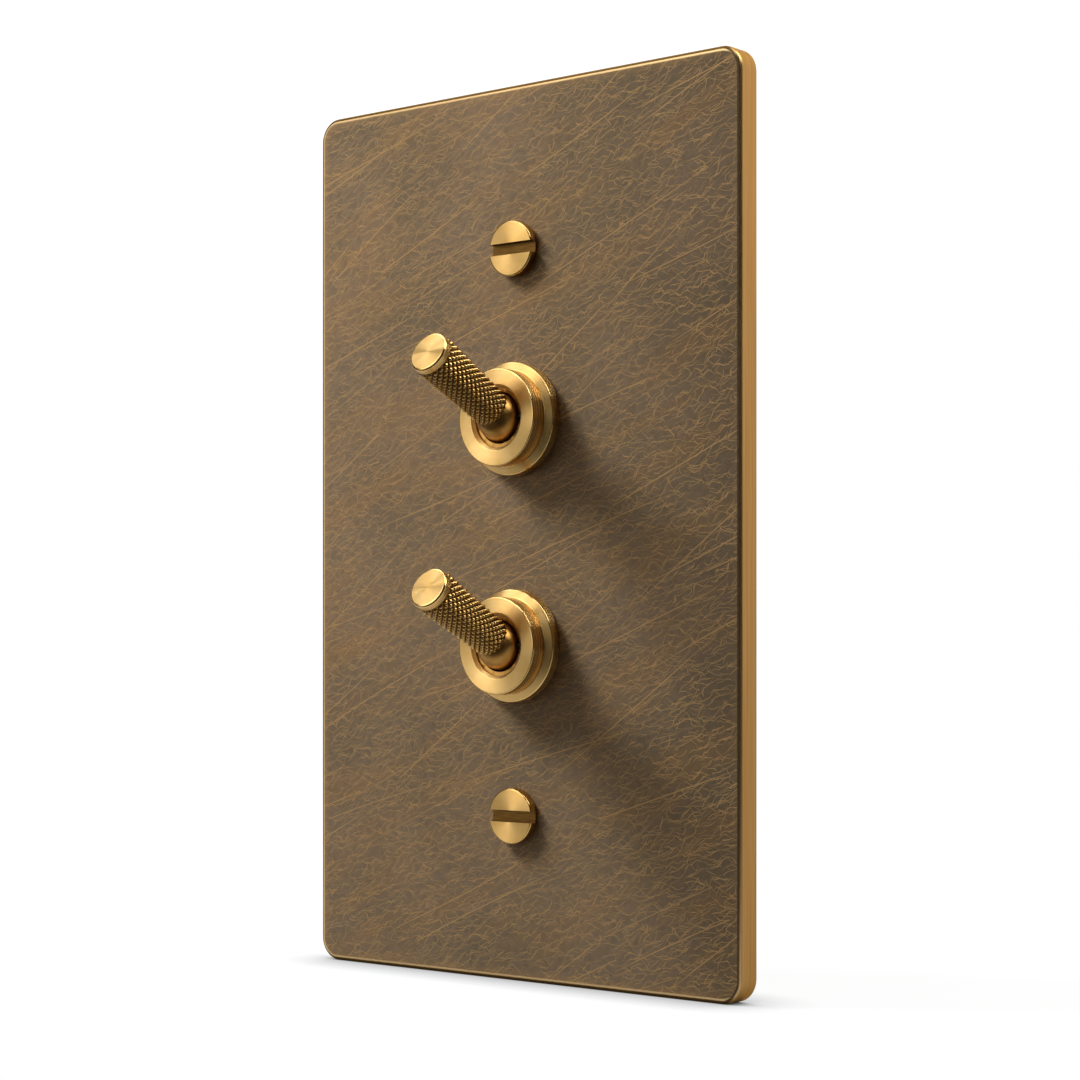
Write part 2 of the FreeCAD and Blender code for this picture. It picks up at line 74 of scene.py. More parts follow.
# Switches and screws, placed by the frame
JOINTS = {joint["name"]: joint for joint in frame["joints"]}
PIVOTS = {place: Vector(JOINTS[place + "_dolly_tilt"]["pos_m"]) / MM for place in ("upper", "lower")}
MOUNTS = {mount["name"]: mount for mount in frame["record"]["mounts"]}
SCREW_SPACING = MOUNTS["wall_screws"]["dims"]["pcd_mm"]

# Plate screws
SCREW_HEAD_RADIUS = 3.55
SCREW_HEAD_HEIGHT = 1.25
SCREW_HEAD_ROUND = 0.25
SCREW_SLOT_WIDTH = 1.5
SCREW_SLOT_DEPTH = 0.85
SCREW_NECK_RADIUS = 1.74
SCREW_THREAD_RADIUS = 2.0
SCREW_PITCH = 0.7
SCREW_THREAD_SEGMENTS = 48
SCREW_LENGTH = 21.0

# Collar and dress nut
COLLAR_RADIUS = 7.2
COLLAR_RIM_HEIGHT = 1.3
COLLAR_HEIGHT = 1.9
COLLAR_TOP_RADIUS = 6.25
COLLAR_ROUND = 0.25
NUT_RADIUS = 6.2
NUT_HEIGHT = 2.1
NUT_ROUND = 0.18
NUT_SEAT_ROUND = 0.22
NUT_MOUTH_RADIUS = 3.8
NUT_MOUTH_CHAMFER = 0.4
NUT_LIP = 0.6
NECK_FIT_RADIUS = 5.05
EDGE_BREAK = 0.06

# Dolly, along its own axis from the pivot
DOLLY_TILT = 27.5
DOLLY_LENGTH = 15.54
BALL_RADIUS = 3.1
BALL_STEPS = 32
TIP_RADIUS = 2.72
TIP_BAND = 1.05
TIP_ROUND = 0.3
KNURL_TIP_RADIUS = 2.95
KNURL_BASE_RADIUS = 2.55
KNURL_DEPTH = 0.33
KNURL_START = 1.75
KNURL_END = DOLLY_LENGTH - TIP_BAND
KNURL_PITCH = 0.98
KNURL_TEETH = 19
KNURL_SAMPLES = 16
KNURL_RUN_OUT = 0.35
KNURL_SOFTNESS = 0.5
ARM_RADIUS = 1.4
ARM_END = 5.4
ARM_CHAMFER = 0.2
PLUNGER_BORE_RADIUS = 0.83
PLUNGER_BORE_TOP = 1.4
DOLLY_MERGE = 0.002

# Pieces behind the plate: their broken edges
BACK_EDGE_BREAK = 0.12
BACK_EDGE_ANGLE = 40
BACK_FLAT_ANGLE = 1
BACK_MERGE = 0.001

# Camera, level and shifted, and the floor
CAMERA_YAW = 39.77
CAMERA_DISTANCE = 313.8
CAMERA_SIDE = 1.0
CAMERA_HEIGHT = -14.0
FOCAL_SHARE = 2.2609
SHIFT_SHARE = 0.09485
SENSOR = 36.0
FLOOR_HALF = 400.0
FLOOR_BACK = 360.0

# Steps round a turned piece and round an eased corner
TURN_SEGMENTS = 160
EASE_STEPS = 6

# Roughness of turned faces, sides and broken edges, and the longest step of a broken edge
FACE_RUB = 0.37
SIDE_RUB = 0.26
EDGE_RUB = 0.16
EDGE_STEP = 0.08


def linear(hex_colour):
    """Linear RGBA of an sRGB hex colour."""
    channels = [int(hex_colour[i:i + 2], 16) / 255 for i in (1, 3, 5)]
    values = [c / 12.92 if c <= 0.04045 else ((c + 0.055) / 1.055) ** 2.4 for c in channels]
    return (*values, 1.0)


def add(tree, kind, inputs=None, out=0, stops=None, **settings):
    """Adds a node and gives one of its outputs: inputs are socket values or the sockets that feed them."""
    node = tree.nodes.new(kind)
    for name, value in settings.items():
        setattr(node, name, value)
    for key, value in (inputs or {}).items():
        if isinstance(value, bpy.types.NodeSocket):
            tree.links.new(value, node.inputs[key])
        else:
            node.inputs[key].default_value = value
    for i, (place, hex_colour) in enumerate(stops or []):
        elements = node.color_ramp.elements
        element = elements[i] if i < 2 else elements.new(1.0)
        element.position = place
        element.color = linear(hex_colour)
    return node.outputs[out] if len(node.outputs) else node


def new_material(name, **constants):
    """A principled material with constants on its shader's own sockets."""
    material = bpy.data.materials.new(name)
    material.use_nodes = True
    tree = material.node_tree
    shader = tree.nodes["Principled BSDF"]
    for socket, value in constants.items():
        shader.inputs[socket.replace("_", " ")].default_value = value
    return material, tree, shader.inputs


def millimetres(tree, stretch=(1, 1, 1), turn=0.0):
    """Object coordinates in millimetres, turned about Y by degrees and then stretched."""
    place = add(tree, "ShaderNodeTexCoord", out="Object")
    turned = add(tree, "ShaderNodeMapping", {"Vector": place, "Rotation": (0, math.radians(turn), 0)})
    return add(tree, "ShaderNodeMapping", {"Vector": turned, "Scale": [s / MM for s in stretch]})


# Materials
COLOUR_MIX = {"out": "Result", "data_type": "RGBA"}


def brass_colour(tree, place, redder, paler):
    """Slow clouds of redder and paler brass."""
    cloud = add(tree, "ShaderNodeTexNoise", {"Vector": place, "Scale": 0.5, "Detail": 3.0})
    return add(tree, "ShaderNodeValToRGB", {"Fac": cloud}, stops=[(0.3, redder), (0.7, paler)])


def follow_grain(tree, shader, grain, stops, rough, relief=None):
    """Colour, roughness and, where given, a relief of (strength, depth) that all follow one grain."""
    colour = add(tree, "ShaderNodeValToRGB", {"Fac": grain}, stops=stops)
    tree.links.new(colour, shader["Base Color"])
    worn = add(tree, "ShaderNodeMapRange", {"Value": grain, "To Min": rough[0], "To Max": rough[1]})
    tree.links.new(worn, shader["Roughness"])
    if relief:
        strength, depth = relief
        bump = add(tree, "ShaderNodeBump", {"Height": grain, "Strength": strength, "Distance": depth * MM})
        tree.links.new(bump, shader["Normal"])


def turned_brass():
    """Solid brass turned and rubbed on the lathe: its rings pull each highlight into a fan along the radius.

    The faces are satin, the sides brighter and the broken edges burnished, to catch thin lines of light.
    Inner corners are darkened by ambient occlusion: a painted shade, with the brown of polish left where it
    doesn't reach. The real rings are finer than a pixel, so they are drawn 0.25 mm apart.
    """
    material, tree, shader = new_material("turned_satin_brass", Metallic=1.0, Anisotropic=0.95)
    # Painted shade: ambient occlusion darkens the brass colour in inner corners.
    corner = add(tree, "ShaderNodeAmbientOcclusion", {"Distance": 0.8 * MM}, out="AO")
    painted_corner_shade = add(tree, "ShaderNodeMapRange", {
        "Value": corner, "From Min": 0.15, "From Max": 0.55, "To Min": 0.4, "To Max": 1.0,
    })
    brass_with_corner_shade = add(tree, "ShaderNodeVectorMath", {
        0: brass_colour(tree, millimetres(tree), "#dfb36a", "#e9c27e"), "Scale": painted_corner_shade,
    }, operation="SCALE")
    tree.links.new(brass_with_corner_shade, shader["Base Color"])
    along = add(tree, "ShaderNodeUVMap", uv_map="turning")
    profile = add(tree, "ShaderNodeSeparateXYZ", {"Vector": along}, out="X")
    rings = add(tree, "ShaderNodeTexNoise", {
        "W": profile, "Scale": 4.0, "Detail": 3.0,
    }, noise_dimensions="1D")
    grain = add(tree, "ShaderNodeMapRange", {"Value": rings, "To Min": -0.05, "To Max": 0.05})
    rub = add(tree, "ShaderNodeAttribute", out="Fac", attribute_name="rub")
    rough = add(tree, "ShaderNodeMath", {0: rub, 1: grain}, operation="ADD")
    tree.links.new(rough, shader["Roughness"])
    tangent = add(tree, "ShaderNodeTangent", direction_type="UV_MAP", uv_map="turning")
    tree.links.new(tangent, shader["Tangent"])
    return material


def knurled_brass():
    """Brass pressed by a knurling wheel: burnished points, and tarnish left dark and dull in the roots."""
    material, tree, shader = new_material("wheel_knurled_brass", Metallic=1.0)
    root = add(tree, "ShaderNodeAttribute", out="Fac", attribute_name="root")
    follow_grain(tree, shader, root, [(0.25, "#edc67c"), (0.6, "#bd8f4c"), (0.95, "#452d10")], (0.12, 0.42))
    return material


def shade_darkened_ball_brass():
    """The ball and arm, smooth from the lathe, in a deep brown gold: the brass painted darker, a painted shade
    for the ball that sits in the shade of the nut and the dolly.
    """
    # Painted shade: a darker brown gold than the dolly's turned brass.
    material, tree, shader = new_material("shade_darkened_turned_brass", Metallic=1.0)
    film = add(tree, "ShaderNodeTexNoise", {"Vector": millimetres(tree), "Scale": 0.8, "Detail": 4.0})
    follow_grain(tree, shader, film, [(0.3, "#9a6f33"), (0.7, "#b78a4a")], (0.28, 0.44))
    return material


def screw_brass():
    """Brass screws with turned heads: the highlight fans out from each screw's own centre."""
    material, tree, shader = new_material("turned_screw_brass", Metallic=1.0, Anisotropic=0.8)
    place = millimetres(tree)
    tree.links.new(brass_colour(tree, place, "#c99f5a", "#d4ad6b"), shader["Base Color"])
    normal = add(tree, "ShaderNodeTexCoord", out="Normal")
    facing = add(tree, "ShaderNodeSeparateXYZ", {"Vector": normal}, out="Y")
    front = add(tree, "ShaderNodeMath", {0: facing, 1: facing}, operation="MULTIPLY")
    rub = add(tree, "ShaderNodeMapRange", {"Value": front, "From Min": 0.9, "To Min": 0.2, "To Max": 0.37})
    grain = add(tree, "ShaderNodeTexNoise", {"Vector": place, "Scale": 6.0, "Detail": 4.0})
    uneven = add(tree, "ShaderNodeMapRange", {"Value": grain, "To Min": -0.05, "To Max": 0.05})
    rough = add(tree, "ShaderNodeMath", {0: rub, 1: uneven}, operation="ADD")
    tree.links.new(rough, shader["Roughness"])
    part = add(tree, "ShaderNodeSeparateXYZ", {"Vector": place}).node.outputs
    side = add(tree, "ShaderNodeMath", {0: part["Z"]}, operation="SIGN")
    height = add(tree, "ShaderNodeMath", {
        0: side, 1: -SCREW_SPACING / 2, 2: part["Z"],
    }, operation="MULTIPLY_ADD")
    radius = add(tree, "ShaderNodeCombineXYZ", {"X": part["X"], "Y": SCREW_HEAD_RADIUS, "Z": height})
    tree.links.new(radius, shader["Tangent"])
    return material


def slot_shade_brass():
    """The screws' slots, rough as the saw left them and painted dark brown: a painted shade for the inside of the
    slot.
    """
    material, tree, shader = new_material("shade_darkened_slot_brass", Metallic=1.0)
    saw = add(tree, "ShaderNodeTexNoise", {
        "Vector": millimetres(tree, (0.5, 5, 5)), "Scale": 1.0, "Detail": 3.0,
    })
    # Painted shade: the slot's dark brown stands for the shade inside it.
    follow_grain(tree, shader, saw, [(0.3, "#523816"), (0.7, "#7a592b")], (0.35, 0.55))
    return material


def fibres(tree, flat, slide, turn, cell, width, spread, bow, rarity):
    """Thin bent lines, one in most cells of a scattered layer: 1 on a line, fading to 0 beside it."""
    laid = add(tree, "ShaderNodeMapping", {
        "Vector": flat, "Location": (slide, 2 * slide, 0), "Rotation": (0, 0, math.radians(turn)),
    })
    scaled = add(tree, "ShaderNodeMapping", {"Vector": laid, "Scale": (1 / cell[0], 1 / cell[1], 1)})
    cells = add(tree, "ShaderNodeTexVoronoi", {"Vector": scaled, "Scale": 1.0}, voronoi_dimensions="2D")
    found = cells.node.outputs
    chance = add(tree, "ShaderNodeSeparateColor", {"Color": found["Color"]}).node.outputs
    offset = add(tree, "ShaderNodeVectorMath", {0: scaled, 1: found["Position"]}, operation="SUBTRACT")
    lean = add(tree, "ShaderNodeMapRange", {
        "Value": chance["Red"], "To Min": -math.radians(spread), "To Max": math.radians(spread),
    })
    leaning = add(tree, "ShaderNodeVectorRotate", {"Vector": offset, "Angle": lean}, rotation_type="Z_AXIS")
    local = add(tree, "ShaderNodeSeparateXYZ", {"Vector": leaning}).node.outputs
    bend = add(tree, "ShaderNodeMapRange", {"Value": chance["Green"], "To Min": -bow, "To Max": bow})
    square = add(tree, "ShaderNodeMath", {0: local["X"], 1: local["X"]}, operation="MULTIPLY")
    bowed = add(tree, "ShaderNodeMath", {0: square, 1: bend, 2: local["Y"]}, operation="MULTIPLY_ADD")
    away = add(tree, "ShaderNodeMath", {0: bowed}, operation="ABSOLUTE")
    line = add(tree, "ShaderNodeMapRange", {
        "Value": away, "From Max": width / cell[1], "To Min": 1.0, "To Max": 0.0,
    })
    reach = add(tree, "ShaderNodeMath", {0: local["X"]}, operation="ABSOLUTE")
    ends = add(tree, "ShaderNodeMapRange", {
        "Value": reach, "From Min": 0.3, "From Max": 0.75, "To Min": 1.0, "To Max": 0.0,
    })
    there = add(tree, "ShaderNodeMapRange", {
        "Value": chance["Blue"], "From Min": rarity - 0.1, "From Max": rarity + 0.5,
    })
    held = add(tree, "ShaderNodeMath", {0: ends, 1: there}, operation="MULTIPLY")
    return add(tree, "ShaderNodeMath", {0: line, 1: held}, operation="MULTIPLY")


def antiqued_brass():
    """Brass browned in a bath and rubbed back: a grey-brown skin, golden hairlines, long scratches.

    The rub goes through to bare satin brass on the sides and on a pale line where the edge starts to round;
    that pale line is burnished brass and also a painted highlight. The round itself keeps its brown, darkened
    to a deep brown as a painted shade where it turns away, and the face has a golden haze along it.
    """
    material, tree, shader = new_material("antiqued_brass", Specular_Tint=linear("#f4d7ae"))
    place = millimetres(tree)
    part = add(tree, "ShaderNodeSeparateXYZ", {"Vector": place}).node.outputs
    flat = add(tree, "ShaderNodeCombineXYZ", {"X": part["X"], "Y": part["Z"]})
    drift = add(tree, "ShaderNodeTexNoise", {
        "Vector": flat, "Scale": 0.55, "Detail": 2.0,
    }, out="Color", noise_dimensions="2D")
    centred = add(tree, "ShaderNodeVectorMath", {0: drift, 1: (0.5, 0.5, 0.5)}, operation="SUBTRACT")
    bent = add(tree, "ShaderNodeVectorMath", {0: centred, 1: (1, 1, 0), 2: flat}, operation="MULTIPLY_ADD")

    # Hairlines lie every way, most of them rising gently to the right; scratches are longer and straighter
    web = None
    for slide, turn, cell, width, rarity in (
        (0, -14, (3.6, 1.3), 0.06, 0.05),
        (31, -30, (3.0, 1.2), 0.06, 0.1),
        (57, 0, (2.6, 1.2), 0.055, 0.1),
        (83, -44, (3.0, 1.3), 0.06, 0.2),
        (101, 22, (2.6, 1.3), 0.055, 0.25),
        (140, -20, (2.2, 1.1), 0.055, 0.1),
    ):
        layer = fibres(tree, bent, slide, turn, cell, width, spread=46, bow=1.3, rarity=rarity)
        web = add(tree, "ShaderNodeMath", {0: web, 1: layer}, operation="MAXIMUM") if web else layer
    scars = None
    for slide, turn, rarity in ((12, -24, 0.25), (40, -36, 0.35), (77, -17, 0.4)):
        layer = fibres(tree, flat, slide, turn, cell=(26, 8), width=0.1, spread=9, bow=0.2, rarity=rarity)
        scars = add(tree, "ShaderNodeMath", {0: scars, 1: layer}, operation="MAXIMUM") if scars else layer

    # Skin: slow clouds from grey-brown to golden brown, a fine mottle, and painted shade darker to the right
    cloud = add(tree, "ShaderNodeTexNoise", {
        "Vector": flat, "Scale": 0.045, "Detail": 4.0,
    }, noise_dimensions="2D")
    skin = add(tree, "ShaderNodeValToRGB", {"Fac": cloud}, stops=[(0.35, "#615341"), (0.65, "#6e5d4a")])
    mottle = add(tree, "ShaderNodeTexNoise", {
        "Vector": bent, "Scale": 1.1, "Detail": 4.0, "Roughness": 0.65,
    }, noise_dimensions="2D")
    shade = add(tree, "ShaderNodeMapRange", {
        "Value": mottle, "From Min": 0.3, "From Max": 0.7, "To Min": 0.8, "To Max": 1.14,
    })
    wiped = add(tree, "ShaderNodeMapping", {"Vector": flat, "Rotation": (0, 0, math.radians(-24))})
    swathe = add(tree, "ShaderNodeTexNoise", {
        "Vector": add(tree, "ShaderNodeMapping", {"Vector": wiped, "Scale": (0.04, 0.22, 1)}),
        "Scale": 1.0, "Detail": 4.0,
    }, noise_dimensions="2D")
    warmth = add(tree, "ShaderNodeMapRange", {
        "Value": swathe, "From Min": 0.45, "From Max": 0.75, "To Max": 0.6,
    })
    warmed = add(tree, "ShaderNodeMix", {"Factor": warmth, "A": skin, "B": linear("#7a5f40")}, **COLOUR_MIX)
    # Painted shade: the skin is darkened towards the right, where the light falls off.
    painted_right_shade = add(tree, "ShaderNodeMapRange", {
        "Value": part["X"], "From Min": 12.0, "From Max": 34.0, "To Min": 1.0, "To Max": 0.66,
    })
    toned = add(tree, "ShaderNodeMath", {0: shade, 1: painted_right_shade}, operation="MULTIPLY")
    mottled = add(tree, "ShaderNodeVectorMath", {0: warmed, "Scale": toned}, operation="SCALE")
    rubbed = add(tree, "ShaderNodeMapRange", {
        "Value": web, "From Min": 0.12, "From Max": 0.7, "To Max": 0.7,
    })
    scored = add(tree, "ShaderNodeMapRange", {
        "Value": scars, "From Min": 0.1, "From Max": 0.7, "To Max": 0.85,
    })
    gilt = add(tree, "ShaderNodeMath", {0: rubbed, 1: scored}, operation="MAXIMUM")
    face = add(tree, "ShaderNodeMix", {"Factor": gilt, "A": mottled, "B": linear("#a98555")}, **COLOUR_MIX)

    # Edge, by the distance past the start of the round: a golden haze, a pale line that is partly a painted
    # highlight, brown patina darkened as a painted shade, then bare brass. Along the right edge there is less
    # haze and no pale line, and the painted shade on the round starts and ends earlier
    run = add(tree, "ShaderNodeAttribute", out="Fac", attribute_name="edge_run")
    broken = add(tree, "ShaderNodeMath", {0: mottle, 1: 0.08, 2: run}, operation="MULTIPLY_ADD")
    share = add(tree, "ShaderNodeMapRange", {
        "Value": part["X"], "From Min": 28.0, "From Max": 33.5, "To Min": 0.35, "To Max": 0.1,
    })
    haze = add(tree, "ShaderNodeMapRange", {
        "Value": broken, "From Min": -1.1, "From Max": 0.1, "To Max": share,
    })
    hazed = add(tree, "ShaderNodeMix", {"Factor": haze, "A": face, "B": linear("#96744a")}, **COLOUR_MIX)
    right = add(tree, "ShaderNodeMapRange", {"Value": part["X"], "From Min": 32.5, "From Max": 34.0})
    past_rub = add(tree, "ShaderNodeMath", {0: right, 1: -0.25, 2: broken}, operation="MULTIPLY_ADD")
    bare = add(tree, "ShaderNodeMapRange", {"Value": past_rub, "From Min": -0.15, "From Max": 0.0})
    brush = add(tree, "ShaderNodeTexNoise", {
        "Vector": millimetres(tree, (0.1, 5, 0.06)), "Scale": 1.0, "Detail": 4.0,
    })
    brushed = add(tree, "ShaderNodeValToRGB", {"Fac": brush}, stops=[(0.3, "#a67b44"), (0.7, "#bb905a")])
    # Painted highlight: the pale line where the edge starts to round.
    pale = add(tree, "ShaderNodeMapRange", {
        "Value": past_rub, "From Min": 0.15, "From Max": 0.35, "To Min": 1.0, "To Max": 0.0,
    })
    crest = add(tree, "ShaderNodeMix", {"Factor": pale, "A": brushed, "B": linear("#d2b07c")}, **COLOUR_MIX)
    bared = add(tree, "ShaderNodeMix", {"Factor": bare, "A": hazed, "B": crest}, **COLOUR_MIX)
    # Painted shade: the round darkens to a deep brown between these two bounds.
    past_start = add(tree, "ShaderNodeMath", {0: right, 1: 0.15, 2: broken}, operation="MULTIPLY_ADD")
    past_end = add(tree, "ShaderNodeMath", {0: right, 1: 0.4, 2: broken}, operation="MULTIPLY_ADD")
    browned = add(tree, "ShaderNodeMapRange", {"Value": past_start, "From Min": 0.1, "From Max": 0.22})
    round_shade_end = add(tree, "ShaderNodeMapRange", {
        "Value": past_end, "From Min": 0.62, "From Max": 0.82, "To Min": 0.88, "To Max": 0.0,
    })
    kept = add(tree, "ShaderNodeMath", {0: browned, 1: round_shade_end}, operation="MULTIPLY")
    colour = add(tree, "ShaderNodeMix", {"Factor": kept, "A": bared, "B": linear("#2e2115")}, **COLOUR_MIX)
    tree.links.new(colour, shader["Base Color"])
    metal = add(tree, "ShaderNodeMath", {0: gilt, 1: 0.15, 2: 0.12}, operation="MULTIPLY_ADD")
    metallic = add(tree, "ShaderNodeMath", {0: metal, 1: bare}, operation="MAXIMUM")
    tree.links.new(metallic, shader["Metallic"])

    matt = add(tree, "ShaderNodeMapRange", {"Value": mottle, "To Min": 0.48, "To Max": 0.68})
    satin = add(tree, "ShaderNodeMapRange", {"Value": brush, "To Min": 0.26, "To Max": 0.42})
    rough = add(tree, "ShaderNodeMix", {
        "Factor": bare, "A": matt, "B": satin,
    }, out="Result", data_type="FLOAT")
    tree.links.new(rough, shader["Roughness"])
    bump = add(tree, "ShaderNodeBump", {"Height": mottle, "Strength": 0.3, "Distance": 0.03 * MM})
    tree.links.new(bump, shader["Normal"])
    return material


def machined_brass():
    """Brass bar milled to size: fine parallel tool marks, and the colour a little dulled by handling."""
    material, tree, shader = new_material("machined_terminal_brass", Metallic=1.0)
    place = millimetres(tree)
    cloud = add(tree, "ShaderNodeTexNoise", {"Vector": place, "Scale": 0.35, "Detail": 4.0})
    colour = add(tree, "ShaderNodeValToRGB", {"Fac": cloud}, stops=[(0.3, "#b58f4e"), (0.7, "#d2ac66")])
    tree.links.new(colour, shader["Base Color"])
    marks = add(tree, "ShaderNodeTexNoise", {
        "Vector": millimetres(tree, (0.4, 6, 0.4)), "Scale": 1.0, "Detail": 3.0,
    })
    rough = add(tree, "ShaderNodeMapRange", {"Value": marks, "To Min": 0.24, "To Max": 0.44})
    tree.links.new(rough, shader["Roughness"])
    bump = add(tree, "ShaderNodeBump", {"Height": marks, "Strength": 0.3, "Distance": 0.02 * MM})
    tree.links.new(bump, shader["Normal"])
    return material


def plated_steel():
    """Steel barrel-plated with zinc and passivated: a cold grey with faint blue and straw patches."""
    material, tree, shader = new_material("zinc_plated_steel", Metallic=1.0)
    place = millimetres(tree)
    film = add(tree, "ShaderNodeTexNoise", {"Vector": place, "Scale": 0.4, "Detail": 2.0})
    colour = add(tree, "ShaderNodeValToRGB", {"Fac": film}, stops=[
        (0.3, "#a9b2bd"), (0.5, "#b9babb"), (0.7, "#c3bda8"),
    ])
    tree.links.new(colour, shader["Base Color"])
    knocks = add(tree, "ShaderNodeTexNoise", {"Vector": place, "Scale": 3.0, "Detail": 4.0})
    rough = add(tree, "ShaderNodeMapRange", {"Value": knocks, "To Min": 0.22, "To Max": 0.42})
    tree.links.new(rough, shader["Roughness"])
    return material


def darkened_pin_steel():
    """Zinc-plated steel pins under grease and dust: near black, which is also a painted shade for the pin's end
    inside the nut's mouth, with a dull and spotty shine.
    """
    material, tree, shader = new_material("shade_darkened_zinc_plated_steel", Metallic=0.8)
    film = add(tree, "ShaderNodeTexNoise", {"Vector": millimetres(tree), "Scale": 2.0, "Detail": 4.0})
    follow_grain(tree, shader, film, [(0.35, "#2b241b"), (0.7, "#4d4538")], (0.4, 0.6))
    return material


def plated_zinc():
    """Zinc die-cast and brass plated: a browner gold than the turned pieces, with a faint pebble."""
    material, tree, shader = new_material("brass_plated_die_cast_zinc", Metallic=1.0)
    pebble = add(tree, "ShaderNodeTexNoise", {"Vector": millimetres(tree), "Scale": 2.5, "Detail": 3.0})
    follow_grain(tree, shader, pebble, [(0.3, "#a5793a"), (0.7, "#b98c4a")], (0.3, 0.5), (0.3, 0.02))
    return material


def silver_contact():
    """Silver buttons headed cold: bright, with a warm grey tarnish in patches."""
    material, tree, shader = new_material("cold_headed_silver", Metallic=1.0)
    tarnish = add(tree, "ShaderNodeTexNoise", {"Vector": millimetres(tree), "Scale": 1.2, "Detail": 4.0})
    follow_grain(tree, shader, tarnish, [(0.35, "#e2ded4"), (0.7, "#b7ab95")], (0.18, 0.4))
    return material


def moulded_nylon():
    """Nylon as moulded: creamy and waxy, with light sinking in a little and faint flow marks."""
    material, tree, shader = new_material("injection_moulded_nylon", Subsurface_Weight=0.15)
    shader["Subsurface Radius"].default_value = (0.5 * MM, 0.4 * MM, 0.3 * MM)
    flow = add(tree, "ShaderNodeTexNoise", {
        "Vector": millimetres(tree, (1, 0.4, 1)), "Scale": 0.7, "Detail": 3.0,
    })
    follow_grain(tree, shader, flow, [(0.3, "#d3ccb9"), (0.7, "#e2dccb")], (0.38, 0.52))
    return material


def moulded_phenolic():
    """Phenolic pressed in a hot mould: near-black brown, flecked by its wood-flour filler, dully shining."""
    material, tree, shader = new_material("compression_moulded_phenolic")
    fleck = add(tree, "ShaderNodeTexNoise", {
        "Vector": millimetres(tree), "Scale": 2.2, "Detail": 5.0, "Roughness": 0.7,
    })
    filler = [(0.3, "#211b18"), (0.6, "#2c2420"), (0.75, "#453830")]
    follow_grain(tree, shader, fleck, filler, (0.3, 0.5), (0.15, 0.03))
    return material


TURNED_BRASS = turned_brass()
KNURLED_BRASS = knurled_brass()
BALL_SHADE_BRASS = shade_darkened_ball_brass()
SCREW_BRASS = screw_brass()
SLOT_SHADE_BRASS = slot_shade_brass()
DARKENED_PIN_STEEL = darkened_pin_steel()
ANTIQUED_BRASS = antiqued_brass()
FINISHES = {
    "antiqued_plate": ANTIQUED_BRASS,
    "satin_brass": SCREW_BRASS,
    "terminal_brass": machined_brass(),
    "plated_steel": plated_steel(),
    "die_cast_zinc": plated_zinc(),
    "contact_silver": silver_contact(),
    "nylon": moulded_nylon(),
    "phenolic": moulded_phenolic(),
}


# Turned meshes
def eased(corners):
    """A closed profile of (radius, y, ease) corners as plain points, each corner rounded by its ease."""
    points = []
    for i, (radius, y, ease) in enumerate(corners):
        here = Vector((radius, y))
        if ease == 0:
            points.append(here)
            continue
        back = (Vector(corners[i - 1][:2]) - here).normalized()
        on = (Vector(corners[(i + 1) % len(corners)][:2]) - here).normalized()
        half = back.angle(on) / 2
        centre = here + (back + on).normalized() * ease / math.sin(half)
        enter = here + back * ease / math.tan(half) - centre
        leave = here + on * ease / math.tan(half) - centre
        sweep = enter.angle_signed(leave)
        for step in range(EASE_STEPS + 1):
            points.append(centre + Matrix.Rotation(-sweep * step / EASE_STEPS, 2) @ enter)
    return points


def spun(profile, segments=TURN_SEGMENTS, closed=False):
    """A bmesh turned about Y from (radius, y) points.

    It has a UV map whose U runs along the profile, and an attribute with the roughness that the tool left:
    most on faces across the axis, less on sides and least on the short steps of a broken edge.
    """
    shape = bmesh.new()
    uv = shape.loops.layers.uv.new("turning")
    rub = shape.loops.layers.float.new("rub")
    turns = [2 * math.pi * i / segments for i in range(segments)]
    rings = []
    for radius, y in profile:
        if radius == 0:
            rings.append([shape.verts.new((0, y * MM, 0))])
        else:
            around = [Vector((math.cos(t) * radius, y, math.sin(t) * radius)) * MM for t in turns]
            rings.append([shape.verts.new(point) for point in around])
    last = len(rings) if closed else len(rings) - 1
    run = 0.0
    for low in range(last):
        high = (low + 1) % len(rings)
        step = math.dist(profile[low], profile[high])
        before, run = run, run + step
        across = abs(profile[high][0] - profile[low][0]) / step
        finish = EDGE_RUB if step < EDGE_STEP else SIDE_RUB + (FACE_RUB - SIDE_RUB) * across
        for i in range(segments):
            corners = [(low, i, before), (low, i + 1, before), (high, i + 1, run), (high, i, run)]
            if len(rings[low]) == 1:
                corners = corners[1:]
            elif len(rings[high]) == 1:
                corners = corners[:3]
            face = shape.faces.new([rings[ring][turn % len(rings[ring])] for ring, turn, _ in corners])
            for loop, (_, turn, along) in zip(face.loops, corners):
                loop[uv].uv = (along, turn / segments)
                loop[rub] = finish
    bmesh.ops.recalc_face_normals(shape, faces=shape.faces)
    return shape


def smooth_mesh(name, shape, *materials, sharp=32):
    """A smooth-shaded mesh of a bmesh, with its corners kept sharp."""
    mesh = bpy.data.meshes.new(name)
    shape.to_mesh(mesh)
    shape.free()
    for material in materials:
        mesh.materials.append(material)
    mesh.polygons.foreach_set("use_smooth", [True] * len(mesh.polygons))
    mesh.set_sharp_from_angle(angle=math.radians(sharp))
    return mesh


def evaluated_mesh(holder, **options):
    """The plain mesh that an object's modifiers make. The object is removed."""
    depsgraph = bpy.context.evaluated_depsgraph_get()
    mesh = bpy.data.meshes.new_from_object(holder.evaluated_get(depsgraph), depsgraph=depsgraph, **options)
    holder.modifiers.clear()
    bpy.data.objects.remove(holder)
    return mesh


def place_piece(name, mesh, body, slot, *nodes):
    """A finished piece that rides on a body and stands for its nodes."""
    piece = bpy.data.objects.new(name, mesh)
    bpy.context.collection.objects.link(piece)
    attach(piece, body)
    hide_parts(*nodes)
    return piece


def moved(shape, z):
    """The bmesh, raised to a height."""
    bmesh.ops.translate(shape, verts=shape.verts, vec=(0, 0, z * MM))
    return shape


